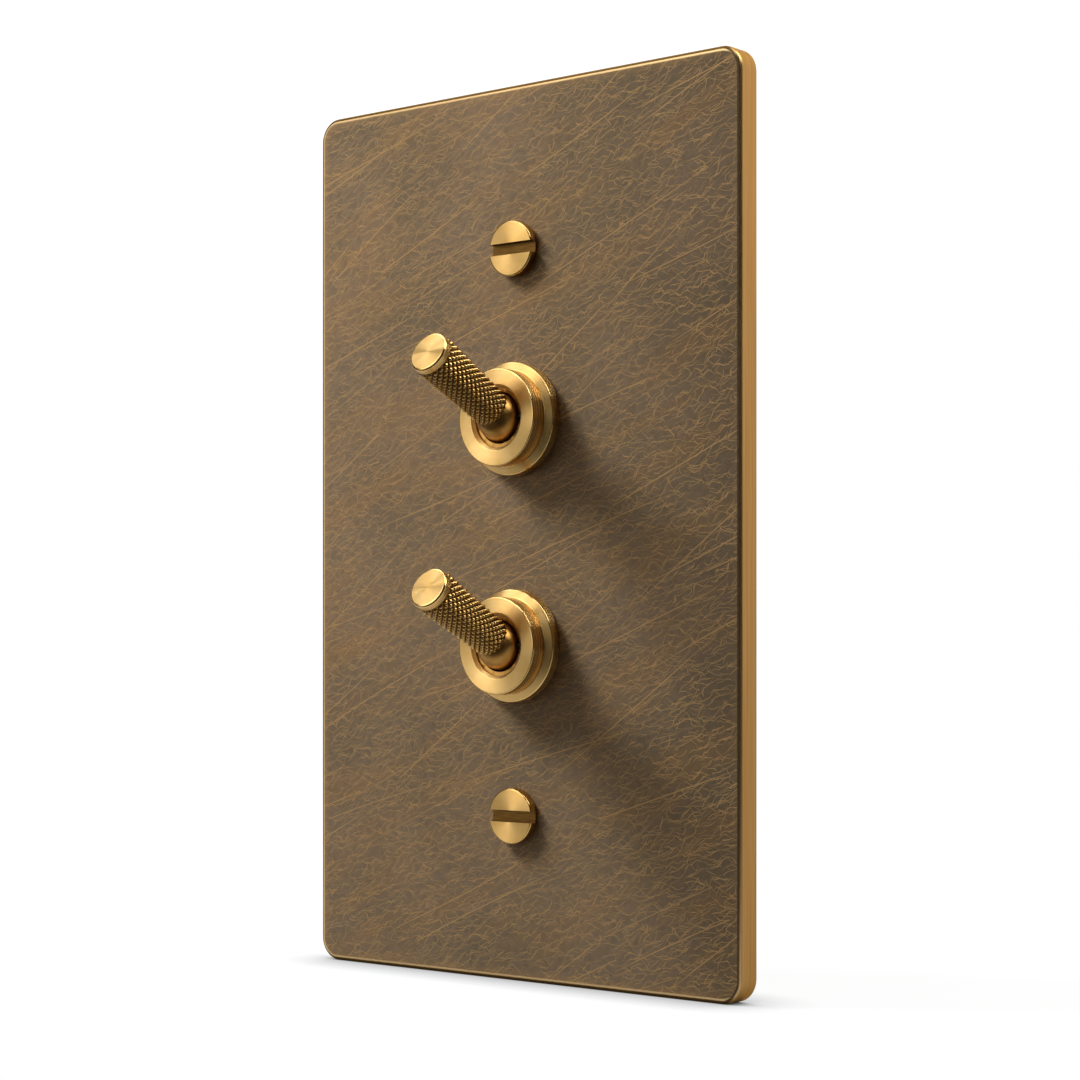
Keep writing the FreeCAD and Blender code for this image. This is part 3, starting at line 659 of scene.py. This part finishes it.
# Node trees that grow meshes
def new_tree(name, sizes):
    """A geometry node tree with named inputs, and the outputs of its input node."""
    tree = bpy.data.node_groups.new(name, "GeometryNodeTree")
    for socket, kind in sizes.items():
        tree.interface.new_socket(name=socket, in_out="INPUT", socket_type="NodeSocket" + kind)
    tree.interface.new_socket(name="Geometry", in_out="OUTPUT", socket_type="NodeSocketGeometry")
    return tree, add(tree, "NodeGroupInput").node.outputs


def finish_tree(tree, geometry, material):
    """Ends a tree: instances made real, its material set."""
    real = add(tree, "GeometryNodeRealizeInstances", {"Geometry": geometry})
    dressed = add(tree, "GeometryNodeSetMaterial", {"Geometry": real, "Material": material})
    add(tree, "NodeGroupOutput", {"Geometry": dressed})


def grown(tree, values):
    """The plain mesh that a tree grows from its input values."""
    holder = bpy.data.objects.new(tree.name, bpy.data.meshes.new(tree.name))
    bpy.context.collection.objects.link(holder)
    modifier = holder.modifiers.new(tree.name, "NODES")
    modifier.node_group = tree
    for item in tree.interface.items_tree:
        if item.in_out == "INPUT":
            modifier[item.identifier] = values[item.name]
    return evaluated_mesh(holder, preserve_all_data_layers=True)


def knurled_grip_tree():
    """A grid rolled into a tapering sleeve whose radius follows two crossing sets of helical grooves."""
    tree, size = new_tree("knurled_grip", {
        "Start": "Float", "End": "Float", "Pattern Start": "Float", "Pitch": "Float", "Teeth": "Int",
        "Columns": "Int", "Rows": "Int", "Base Radius": "Float", "Tip Radius": "Float", "Depth": "Float",
        "Run Out": "Float", "Softness": "Float", "Material": "Material",
    })
    grid = add(tree, "GeometryNodeMeshGrid", {
        "Size X": 1.0, "Size Y": 1.0, "Vertices X": size["Columns"], "Vertices Y": size["Rows"],
    }, out="Mesh")
    position = add(tree, "GeometryNodeInputPosition")
    flat = add(tree, "ShaderNodeSeparateXYZ", {"Vector": position}).node.outputs
    turn = add(tree, "ShaderNodeMath", {0: flat["X"], 1: 0.5}, operation="ADD")
    run = add(tree, "ShaderNodeMapRange", {
        "Value": flat["Y"], "From Min": -0.5, "From Max": 0.5,
        "To Min": size["Start"], "To Max": size["End"],
    })
    past = add(tree, "ShaderNodeMath", {0: run, 1: size["Pattern Start"]}, operation="SUBTRACT")
    rows = add(tree, "ShaderNodeMath", {0: past, 1: size["Pitch"]}, operation="DIVIDE")
    teeth = add(tree, "ShaderNodeMath", {0: turn, 1: size["Teeth"], 2: 0.5}, operation="MULTIPLY_ADD")
    waves = []
    for hand in ("ADD", "SUBTRACT"):
        helix = add(tree, "ShaderNodeMath", {0: teeth, 1: rows}, operation=hand)
        fold = add(tree, "ShaderNodeMath", {0: helix, 1: 0.5}, operation="PINGPONG")
        waves.append(add(tree, "ShaderNodeMath", {0: fold, 1: 2.0}, operation="MULTIPLY"))
    point = add(tree, "ShaderNodeMath", {
        0: waves[0], 1: waves[1], 2: size["Softness"],
    }, operation="SMOOTH_MIN")
    crest = add(tree, "ShaderNodeMapRange", {"Value": point, "From Max": 0.88})
    to_end = add(tree, "ShaderNodeMath", {0: size["End"], 1: run}, operation="SUBTRACT")
    from_start = add(tree, "ShaderNodeMath", {0: run, 1: size["Start"]}, operation="SUBTRACT")
    near = add(tree, "ShaderNodeMath", {0: to_end, 1: from_start}, operation="MINIMUM")
    fade = add(tree, "ShaderNodeMapRange", {"Value": near, "From Max": size["Run Out"]})
    height = add(tree, "ShaderNodeMath", {0: crest, 1: fade}, operation="MULTIPLY")
    cut = add(tree, "ShaderNodeMath", {0: 1.0, 1: height}, operation="SUBTRACT")
    groove = add(tree, "ShaderNodeMath", {0: cut, 1: size["Depth"]}, operation="MULTIPLY")
    taper = add(tree, "ShaderNodeMapRange", {
        "Value": run, "From Min": size["Pattern Start"], "From Max": size["End"],
        "To Min": size["Base Radius"], "To Max": size["Tip Radius"],
    })
    radius = add(tree, "ShaderNodeMath", {0: taper, 1: groove}, operation="SUBTRACT")
    angle = add(tree, "ShaderNodeMath", {0: turn, 1: 2 * math.pi}, operation="MULTIPLY")
    around = {"Y": add(tree, "ShaderNodeMath", {0: run, 1: -1.0}, operation="MULTIPLY")}
    for axis, wave in (("X", "COSINE"), ("Z", "SINE")):
        share = add(tree, "ShaderNodeMath", {0: angle}, operation=wave)
        around[axis] = add(tree, "ShaderNodeMath", {0: share, 1: radius}, operation="MULTIPLY")
    rolled = add(tree, "ShaderNodeCombineXYZ", around)
    metres = add(tree, "ShaderNodeVectorMath", {0: rolled, "Scale": MM}, operation="SCALE")
    unrolled = add(tree, "ShaderNodeCombineXYZ", {"X": run, "Y": turn})
    mapped = add(tree, "GeometryNodeStoreNamedAttribute", {
        "Geometry": grid, "Name": "turning", "Value": unrolled,
    }, data_type="FLOAT2", domain="CORNER")
    rooted = add(tree, "GeometryNodeStoreNamedAttribute", {
        "Geometry": mapped, "Name": "root", "Value": cut,
    })
    sleeve = add(tree, "GeometryNodeSetPosition", {"Geometry": rooted, "Position": metres})
    finish_tree(tree, sleeve, size["Material"])
    return tree


def screw_thread_tree():
    """A ridge swept along a helix, set at both screws."""
    tree, size = new_tree("screw_thread", {
        "Root Radius": "Float", "Pitch": "Float", "Turns": "Float", "Start": "Float", "Segments": "Int",
        "Spacing": "Float", "Material": "Material",
    })
    height = add(tree, "ShaderNodeMath", {0: size["Pitch"], 1: size["Turns"]}, operation="MULTIPLY")
    helix = add(tree, "GeometryNodeCurveSpiral", {
        "Resolution": size["Segments"], "Rotations": size["Turns"], "Start Radius": size["Root Radius"],
        "End Radius": size["Root Radius"], "Height": height,
    })
    steady = add(tree, "GeometryNodeSetCurveNormal", {"Curve": helix}, mode="Z_UP")
    half = add(tree, "ShaderNodeMath", {0: size["Pitch"], 1: 0.5}, operation="MULTIPLY")
    ridge = add(tree, "GeometryNodeCurvePrimitiveCircle", {"Resolution": 4, "Radius": half})
    thread = add(tree, "GeometryNodeCurveToMesh", {
        "Curve": steady, "Profile Curve": ridge, "Fill Caps": True,
    })
    start = add(tree, "ShaderNodeCombineXYZ", {"Y": size["Start"]})
    laid = add(tree, "GeometryNodeTransform", {
        "Geometry": thread, "Translation": start, "Rotation": (-math.pi / 2, 0, 0),
    })
    top = add(tree, "ShaderNodeMath", {0: size["Spacing"], 1: 0.5}, operation="MULTIPLY")
    down = add(tree, "ShaderNodeMath", {0: size["Spacing"], 1: -1.0}, operation="MULTIPLY")
    places = add(tree, "GeometryNodeMeshLine", {
        "Count": 2, "Start Location": add(tree, "ShaderNodeCombineXYZ", {"Z": top}),
        "Offset": add(tree, "ShaderNodeCombineXYZ", {"Z": down}),
    })
    set_out = add(tree, "GeometryNodeInstanceOnPoints", {"Points": places, "Instance": laid})
    sized = add(tree, "GeometryNodeRealizeInstances", {"Geometry": set_out})
    metres = add(tree, "GeometryNodeTransform", {"Geometry": sized, "Scale": (MM, MM, MM)})
    finish_tree(tree, metres, size["Material"])
    return tree


# Wall plate
def rounded_rectangle(inset):
    """Points (x, z) of the plate's outline drawn in by an inset, anticlockwise."""
    corner = PLATE_CORNER - inset
    points = []
    for sx, sz, start in ((1, 1, 0), (-1, 1, 90), (-1, -1, 180), (1, -1, 270)):
        cx = sx * (PLATE_WIDTH / 2 - PLATE_CORNER)
        cz = sz * (PLATE_HEIGHT / 2 - PLATE_CORNER)
        for step in range(PLATE_CORNER_STEPS + 1):
            turn = math.radians(start + 90 * step / PLATE_CORNER_STEPS)
            points.append((cx + corner * math.cos(turn), cz + corner * math.sin(turn)))
    return points


def plate_mesh():
    """The plate with its rounded front edge, its holes and an attribute that measures across the edge."""
    shape = bmesh.new()
    edge_run = shape.verts.layers.float.new("edge_run")
    levels = [(0.0, 0.0, PLATE_EDGE_ROUND * math.pi / 2 - FACE_Y - PLATE_EDGE_ROUND)]
    for step in range(PLATE_EDGE_STEPS + 1):
        turn = math.pi / 2 * step / PLATE_EDGE_STEPS
        inset = PLATE_EDGE_ROUND * (1 - math.cos(turn))
        y = FACE_Y + PLATE_EDGE_ROUND * (1 - math.sin(turn))
        levels.append((inset, y, PLATE_EDGE_ROUND * (math.pi / 2 - turn)))
    levels += [(PLATE_EDGE_ROUND + width, FACE_Y, -width) for width in PLATE_EDGE_BANDS]
    rings = []
    for inset, y, run in levels:
        rings.append([shape.verts.new(Vector((x, y, z)) * MM) for x, z in rounded_rectangle(inset)])
        for vert in rings[-1]:
            vert[edge_run] = run
    for low, high in zip(rings, rings[1:]):
        for i in range(len(low)):
            shape.faces.new([low[i - 1], low[i], high[i], high[i - 1]])
    holes = [(pivot.z, NECK_HOLE_RADIUS) for pivot in PIVOTS.values()]
    holes += [(sign * SCREW_SPACING / 2, SCREW_HOLE_RADIUS) for sign in (1, -1)]
    loops = [[rings[0]], [rings[-1]]]
    for z, radius in holes:
        turns = [2 * math.pi * i / HOLE_SEGMENTS for i in range(HOLE_SEGMENTS)]
        around = [(radius * math.cos(t), z + radius * math.sin(t)) for t in turns]
        back = [shape.verts.new(Vector((x, 0, z)) * MM) for x, z in around]
        front = [shape.verts.new(Vector((x, FACE_Y, z)) * MM) for x, z in around]
        for rear, fore in zip(back, front):
            rear[edge_run] = levels[0][2]
            fore[edge_run] = levels[-1][2]
        for i in range(HOLE_SEGMENTS):
            shape.faces.new([back[i - 1], front[i - 1], front[i], back[i]])
        loops[0].append(back)
        loops[1].append(front)
    for face in loops:
        edges = [shape.edges.get((loop[i - 1], loop[i])) for loop in face for i in range(len(loop))]
        bmesh.ops.triangle_fill(shape, edges=edges, use_beauty=True)
    bmesh.ops.recalc_face_normals(shape, faces=shape.faces)
    return smooth_mesh("wall_plate", shape, ANTIQUED_BRASS)


# Collar and dress nut
def collar_mesh(z):
    """The base collar: a low drum with a conical top."""
    rim_y = FACE_Y - COLLAR_RIM_HEIGHT
    top_y = FACE_Y - COLLAR_HEIGHT
    profile = eased([
        (NECK_FIT_RADIUS, FACE_Y, 0),
        (COLLAR_RADIUS, FACE_Y, EDGE_BREAK),
        (COLLAR_RADIUS, rim_y, COLLAR_ROUND),
        (COLLAR_TOP_RADIUS, top_y, COLLAR_ROUND),
        (NECK_FIT_RADIUS, top_y, 0),
    ])
    return smooth_mesh("collar", moved(spun(profile, closed=True), z), TURNED_BRASS)


def nut_mesh(z):
    """The dress nut: a flat ring with a chamfered mouth over its threaded bore."""
    seat_y = FACE_Y - COLLAR_HEIGHT
    front_y = seat_y - NUT_HEIGHT
    profile = eased([
        (NECK_FIT_RADIUS, seat_y, 0),
        (NUT_RADIUS, seat_y, NUT_SEAT_ROUND),
        (NUT_RADIUS, front_y, NUT_ROUND),
        (NUT_MOUTH_RADIUS + NUT_MOUTH_CHAMFER, front_y, EDGE_BREAK),
        (NUT_MOUTH_RADIUS, front_y + NUT_MOUTH_CHAMFER, 0),
        (NUT_MOUTH_RADIUS, front_y + NUT_LIP, 0),
        (NECK_FIT_RADIUS, front_y + NUT_LIP, 0),
    ])
    return smooth_mesh("dress_nut", moved(spun(profile, closed=True), z), TURNED_BRASS)


# Dolly
def grip_foot():
    """Distance from the pivot at which the knurl's roots run out on the ball."""
    slope = (KNURL_TIP_RADIUS - KNURL_BASE_RADIUS) / (KNURL_END - KNURL_START)
    root = KNURL_BASE_RADIUS - KNURL_DEPTH - slope * KNURL_START
    a, b, c = 1 + slope ** 2, slope * root, root ** 2 - BALL_RADIUS ** 2
    return (-b + math.sqrt(b ** 2 - a * c)) / a


def dolly_mesh(pivot):
    """A knurled grip with a spun tip, on a ball with an arm behind it, as one closed skin."""
    columns = KNURL_TEETH * KNURL_SAMPLES
    foot = grip_foot()
    grip = grown(knurled_grip_tree(), {
        "Start": foot, "End": KNURL_END, "Pattern Start": KNURL_START, "Pitch": KNURL_PITCH,
        "Teeth": KNURL_TEETH, "Columns": columns + 1,
        "Rows": round((KNURL_END - foot) / KNURL_PITCH * KNURL_SAMPLES) + 1,
        "Base Radius": KNURL_BASE_RADIUS, "Tip Radius": KNURL_TIP_RADIUS, "Depth": KNURL_DEPTH,
        "Run Out": KNURL_RUN_OUT, "Softness": KNURL_SOFTNESS, "Material": KNURLED_BRASS,
    })
    foot_radius = math.sqrt(BALL_RADIUS ** 2 - foot ** 2)
    tip = eased([
        (0, -DOLLY_LENGTH, 0),
        (TIP_RADIUS, -DOLLY_LENGTH, TIP_ROUND),
        (TIP_RADIUS, -KNURL_END, EDGE_BREAK),
        (KNURL_TIP_RADIUS - KNURL_DEPTH, -KNURL_END, 0),
    ])
    first = math.acos(foot / BALL_RADIUS)
    last = math.pi - math.asin(ARM_RADIUS / BALL_RADIUS)
    ball = []
    for step in range(BALL_STEPS + 1):
        turn = first + (last - first) * step / BALL_STEPS
        ball.append((BALL_RADIUS * math.sin(turn), -BALL_RADIUS * math.cos(turn)))
    arm = [
        (ARM_RADIUS, ARM_END - ARM_CHAMFER),
        (ARM_RADIUS - ARM_CHAMFER, ARM_END),
        (PLUNGER_BORE_RADIUS, ARM_END),
        (PLUNGER_BORE_RADIUS, PLUNGER_BORE_TOP),
        (0, PLUNGER_BORE_TOP),
    ]
    shape = spun(tip, columns)
    tip_faces = len(shape.faces)
    rest = bpy.data.meshes.new("ball_and_arm")
    lower = spun([(foot_radius, -foot)] + ball[1:] + arm, columns)
    lower.to_mesh(rest)
    lower.free()
    shape.from_mesh(rest)
    turned_faces = len(shape.faces)
    shape.from_mesh(grip)
    for i, face in enumerate(shape.faces):
        face.material_index = int(i >= tip_faces) + int(i >= turned_faces)
    bmesh.ops.remove_doubles(shape, verts=shape.verts, dist=DOLLY_MERGE * MM)
    bmesh.ops.recalc_face_normals(shape, faces=shape.faces)
    shape.transform(Matrix.Translation(pivot * MM) @ Matrix.Rotation(math.radians(-DOLLY_TILT), 4, "X"))
    return smooth_mesh("dolly", shape, TURNED_BRASS, BALL_SHADE_BRASS, KNURLED_BRASS, sharp=60)


# Plate screws
def plate_screws_mesh():
    """Slotted cheese-head screws with a rolled thread."""
    head_y = FACE_Y - SCREW_HEAD_HEIGHT
    root = SCREW_THREAD_RADIUS - SCREW_PITCH / 2
    point = SCREW_LENGTH - root / 2
    profile = eased([
        (0, head_y, 0),
        (SCREW_HEAD_RADIUS, head_y, SCREW_HEAD_ROUND),
        (SCREW_HEAD_RADIUS, FACE_Y, EDGE_BREAK),
        (SCREW_NECK_RADIUS, FACE_Y, 0),
        (SCREW_NECK_RADIUS, 0, 0),
        (root, SCREW_PITCH / 2, 0),
        (root, point, 0),
        (root / 2, SCREW_LENGTH, 0),
        (0, SCREW_LENGTH, 0),
    ])
    shapes = bmesh.new()
    for sign in (1, -1):
        z = sign * SCREW_SPACING / 2
        body = bpy.data.objects.new("screw", smooth_mesh("screw", moved(spun(profile), z), SCREW_BRASS))
        cutter = bmesh.new()
        size = Vector((3 * SCREW_HEAD_RADIUS, 2 * SCREW_SLOT_DEPTH, SCREW_SLOT_WIDTH)) * MM
        place = Matrix.Translation((0, head_y * MM, z * MM))
        bmesh.ops.create_cube(cutter, size=1, matrix=place @ Matrix.Diagonal((*size, 1)))
        blade = bpy.data.objects.new("slot", smooth_mesh("slot", cutter, SLOT_SHADE_BRASS))
        for obj in (body, blade):
            bpy.context.collection.objects.link(obj)
        slot = body.modifiers.new("slot", "BOOLEAN")
        slot.object = blade
        slot.solver = "EXACT"
        slot.material_mode = "TRANSFER"
        soften = body.modifiers.new("soften", "BEVEL")
        soften.width = EDGE_BREAK * MM
        soften.segments = 2
        soften.limit_method = "ANGLE"
        soften.angle_limit = math.radians(50)
        shapes.from_mesh(evaluated_mesh(body))
        bpy.data.objects.remove(blade)
    thread = grown(screw_thread_tree(), {
        "Root Radius": root, "Pitch": SCREW_PITCH, "Turns": (point - SCREW_PITCH) / SCREW_PITCH,
        "Start": SCREW_PITCH / 2, "Segments": SCREW_THREAD_SEGMENTS, "Spacing": SCREW_SPACING,
        "Material": SCREW_BRASS,
    })
    shapes.from_mesh(thread)
    return smooth_mesh("plate_screws", shapes, SCREW_BRASS, SLOT_SHADE_BRASS, sharp=30)


# Pieces behind the plate
def flat_faced(mesh):
    """The mesh with normals taken from its large faces, so that they look flat between rounded edges."""
    holder = bpy.data.objects.new(mesh.name, mesh)
    bpy.context.collection.objects.link(holder)
    weigh = holder.modifiers.new("weigh", "WEIGHTED_NORMAL")
    weigh.keep_sharp = True
    return evaluated_mesh(holder)


def broken_edges_mesh(name, node):
    """A node's own solid, merged and with its sharp outer edges broken."""
    shape = bmesh.new()
    shape.from_mesh(node.data)
    shape.transform(node.matrix_world)
    bmesh.ops.remove_doubles(shape, verts=shape.verts, dist=BACK_MERGE * MM)
    bmesh.ops.dissolve_limit(
        shape, angle_limit=math.radians(BACK_FLAT_ANGLE), verts=shape.verts, edges=shape.edges,
    )
    limit = math.radians(BACK_EDGE_ANGLE)
    outer = [edge for edge in shape.edges if edge.is_manifold and edge.is_convex]
    sharp = [edge for edge in outer if edge.calc_face_angle() > limit]
    bmesh.ops.bevel(
        shape, geom=sharp, offset=BACK_EDGE_BREAK * MM, segments=2, profile=0.5, affect="EDGES",
        clamp_overlap=True,
    )
    bmesh.ops.triangulate(shape, faces=shape.faces)
    bmesh.ops.recalc_face_normals(shape, faces=shape.faces)
    return flat_faced(smooth_mesh(name, shape, *node.data.materials, sharp=50))


def place_spring(switch):
    """The plunger's spring with its edges broken, riding on the dolly with a mesh of its own."""
    node = frame["nodes"][switch + "_plunger_spring"]
    mesh = broken_edges_mesh("coil_spring", node)
    piece = place_piece(switch + "_coil_spring", mesh, switch + "_dolly", "plated_steel", node.name)
    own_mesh(piece)


BACK_PIECES = {
    "lock_washer": "spring_washer",
    "bushing": "neck_bushing",
    "pivot_pin": "steel_pivot",
    "plunger": "nylon_plunger",
    "rocker_saddle": "nylon_saddle",
    "contact_blade": "rocking_blade",
    "moving_contacts": "blade_buttons",
    "fixed_contacts": "fixed_buttons",
    "way_one_terminal": "way_one_block",
    "way_two_terminal": "way_two_block",
    "common_terminal": "common_block",
    "terminal_screws": "clamping_screws",
    "case": "moulded_case",
    "case_rivets": "hollow_rivets",
}
SLOTS = {part["node"]: part["material_slot"] for part in frame["record"]["subparts"]}
BODIES = {node: body for body, nodes in frame["record"]["behaviour"]["bodies"].items() for node in nodes}


# Stage: pale floor, white backdrop, soft light from the upper left
def seen(tree):
    """1 for what the camera sees, straight or in metal, and 0 for light that falls on the object."""
    path = add(tree, "ShaderNodeLightPath").node.outputs
    mirrored = add(tree, "ShaderNodeMath", {
        0: path["Is Glossy Ray"], 1: path["Is Transmission Ray"],
    }, operation="MAXIMUM")
    either = add(tree, "ShaderNodeMath", {0: path["Is Camera Ray"], 1: mirrored}, operation="MAXIMUM")
    return path["Is Camera Ray"], either


def stage():
    """A floor that shows white, a little less near the plate, with a painted contact shadow from ambient occlusion
    close to what stands on it.
    """
    mesh = bmesh.new()
    bmesh.ops.create_grid(mesh, x_segments=1, y_segments=1, size=FLOOR_HALF * MM)
    bmesh.ops.translate(mesh, verts=mesh.verts, vec=(0, FLOOR_BACK * MM, PLATE_LOW.z * MM))
    data = bpy.data.meshes.new("floor")
    mesh.to_mesh(data)
    mesh.free()
    floor = bpy.data.objects.new("floor", data)
    bpy.context.collection.objects.link(floor)
    material, tree, shader = new_material("pale_floor", Roughness=0.9, Specular_IOR_Level=0.0)
    shader["Base Color"].default_value = linear("#3c3c3c")
    shader["Emission Color"].default_value = (1, 1, 1, 1)
    away = add(tree, "ShaderNodeVectorMath", {0: millimetres(tree)}, out="Value", operation="LENGTH")
    fading = add(tree, "ShaderNodeMapRange", {
        "Value": away, "From Min": 60.0, "From Max": 160.0, "To Min": 0.96, "To Max": 1.0,
    })
    # Painted contact shadow: ambient occlusion darkens the floor's white close to what stands on it.
    painted_contact_shadow = add(tree, "ShaderNodeAmbientOcclusion", {"Distance": 9 * MM}, out="AO")
    camera_ray, mirrored = seen(tree)
    share = add(tree, "ShaderNodeMath", {0: mirrored, 1: 0.72}, operation="MULTIPLY")
    either = add(tree, "ShaderNodeMath", {0: camera_ray, 1: share}, operation="MAXIMUM")
    white = add(tree, "ShaderNodeMath", {0: either, 1: fading}, operation="MULTIPLY")
    shaded = add(tree, "ShaderNodeMath", {0: white, 1: painted_contact_shadow}, operation="MULTIPLY")
    tree.links.new(shaded, shader["Emission Strength"])
    data.materials.append(material)


# Soft panels: direction, cosines of the outer edge and of the full core, strength
PANELS = (
    ((-0.62, -0.78, -0.02), 0.92, 0.98, 1.0),
    ((-0.53, -0.79, 0.30), 0.955, 0.985, 2.7),
    ((-0.20, -0.95, 0.20), 0.94, 0.98, 1.7),
    ((-0.38, -0.74, 0.56), 0.955, 0.985, 3.2),
    ((-0.64, -0.44, 0.63), 0.955, 0.985, 1.2),
    ((-0.55, -0.02, 0.83), 0.955, 0.985, 4.4),
    ((-0.05, -0.20, 0.98), 0.90, 0.96, 2.8),
    ((0.55, 0.10, 0.83), 0.93, 0.975, 9.0),
)


def studio_world():
    """A white backdrop, soft panels that only metal mirrors, and a dim warm light elsewhere."""
    world = bpy.data.worlds.new("studio")
    world.use_nodes = True
    bpy.context.scene.world = world
    tree = world.node_tree
    tree.nodes.clear()
    camera_ray, mirrored = seen(tree)
    direction = add(tree, "ShaderNodeTexCoord", out="Generated")
    part = add(tree, "ShaderNodeSeparateXYZ", {"Vector": direction}).node.outputs
    behind = add(tree, "ShaderNodeMapRange", {
        "Value": part["Y"], "From Min": 0.05, "From Max": 0.4,
    }, interpolation_type="SMOOTHSTEP")
    rise = add(tree, "ShaderNodeMapRange", {
        "Value": part["Z"], "From Min": -0.15, "From Max": 0.2, "To Min": 0.65, "To Max": 1.1,
    })
    level = add(tree, "ShaderNodeMath", {0: behind, 1: rise}, operation="MULTIPLY")
    for way, edge, core, strength in PANELS:
        facing = add(tree, "ShaderNodeVectorMath", {
            0: direction, 1: way,
        }, out="Value", operation="DOT_PRODUCT")
        panel = add(tree, "ShaderNodeMapRange", {
            "Value": facing, "From Min": edge, "From Max": core, "To Max": strength,
        }, interpolation_type="SMOOTHSTEP")
        level = add(tree, "ShaderNodeMath", {0: level, 1: panel}, operation="MAXIMUM")
    shown = add(tree, "ShaderNodeMath", {0: level, 1: mirrored}, operation="MULTIPLY")
    dim = add(tree, "ShaderNodeMapRange", {"Value": mirrored, "To Min": 0.075, "To Max": 0.05})
    lit = add(tree, "ShaderNodeMath", {0: shown, 1: dim}, operation="MAXIMUM")
    strength = add(tree, "ShaderNodeMath", {0: lit, 1: camera_ray}, operation="MAXIMUM")
    tint = add(tree, "ShaderNodeMix", {
        "Factor": mirrored, "A": linear("#ffdcae"), "B": (1, 1, 1, 1),
    }, **COLOUR_MIX)
    light = add(tree, "ShaderNodeBackground", {"Color": tint, "Strength": strength})
    add(tree, "ShaderNodeOutputWorld", {"Surface": light})


def lamp(name, place, size, watts, hex_colour):
    """A square lamp aimed at the plate's middle. Metal mirrors the panels and not the lamps."""
    light = bpy.data.lights.new(name, "AREA")
    light.size = size * MM
    light.energy = watts
    light.color = linear(hex_colour)[:3]
    obj = bpy.data.objects.new(name, light)
    bpy.context.collection.objects.link(obj)
    obj.location = Vector(place) * MM
    obj.rotation_euler = (-Vector(place)).to_track_quat("-Z", "Y").to_euler()
    obj.visible_glossy = False


def camera():
    """A level camera to the right of the plate, with its view shifted upwards."""
    yaw = math.radians(CAMERA_YAW)
    back = Vector((math.sin(yaw), -math.cos(yaw), 0))
    right = Vector((math.cos(yaw), math.sin(yaw), 0))
    data = bpy.data.cameras.new("camera")
    data.sensor_width = SENSOR
    data.lens = FOCAL_SHARE * SENSOR
    data.shift_y = SHIFT_SHARE
    data.clip_start = 0.01
    data.clip_end = 20
    obj = bpy.data.objects.new("camera", data)
    bpy.context.collection.objects.link(obj)
    obj.location = (back * CAMERA_DISTANCE + right * CAMERA_SIDE + Vector((0, 0, CAMERA_HEIGHT))) * MM
    obj.rotation_euler = (math.radians(90), 0, yaw)
    bpy.context.scene.camera = obj


bpy.context.scene.view_settings.view_transform = "Standard"
for part in frame["record"]["subparts"]:
    data = frame["nodes"][part["node"]].data
    data.materials.clear()
    # The pivot pins are painted near black, also a painted shade for their ends inside the nut's mouth.
    darkened_pin = part["node"].endswith("pivot_pin")
    data.materials.append(DARKENED_PIN_STEEL if darkened_pin else FINISHES[part["material_slot"]])

place_piece("wall_plate", plate_mesh(), "base", "antiqued_plate", "plate")
place_piece("cheese_head_screws", plate_screws_mesh(), "base", "satin_brass", "plate_screws")
for switch, pivot in PIVOTS.items():
    place_piece(switch + "_ring_nut", nut_mesh(pivot.z), "base", "satin_brass", switch + "_dress_nut")
    place_piece(switch + "_base_collar", collar_mesh(pivot.z), "base", "satin_brass", switch + "_collar")
    dolly = switch + "_dolly"
    place_piece(switch + "_knurled_dolly", dolly_mesh(pivot), dolly, "satin_brass", dolly)
    place_spring(switch)

dressed = {
    switch + "_" + node: switch + "_" + name
    for switch in PIVOTS
    for node, name in BACK_PIECES.items()
}
dressed.update(earth_terminal="earth_block", earth_screw="earth_clamping_screw")
for node, name in dressed.items():
    mesh = broken_edges_mesh(name, frame["nodes"][node])
    place_piece(name, mesh, BODIES[node], SLOTS[node], node)

stage()
studio_world()
lamp("key", (-298, -166, 324), 150, 6.0, "#f6faff")
lamp("side", (-170, -110, 20), 80, 0.06, "#fff0dc")
lamp("rear", (220, 260, 160), 150, 0.8, "#ffffff")
camera()
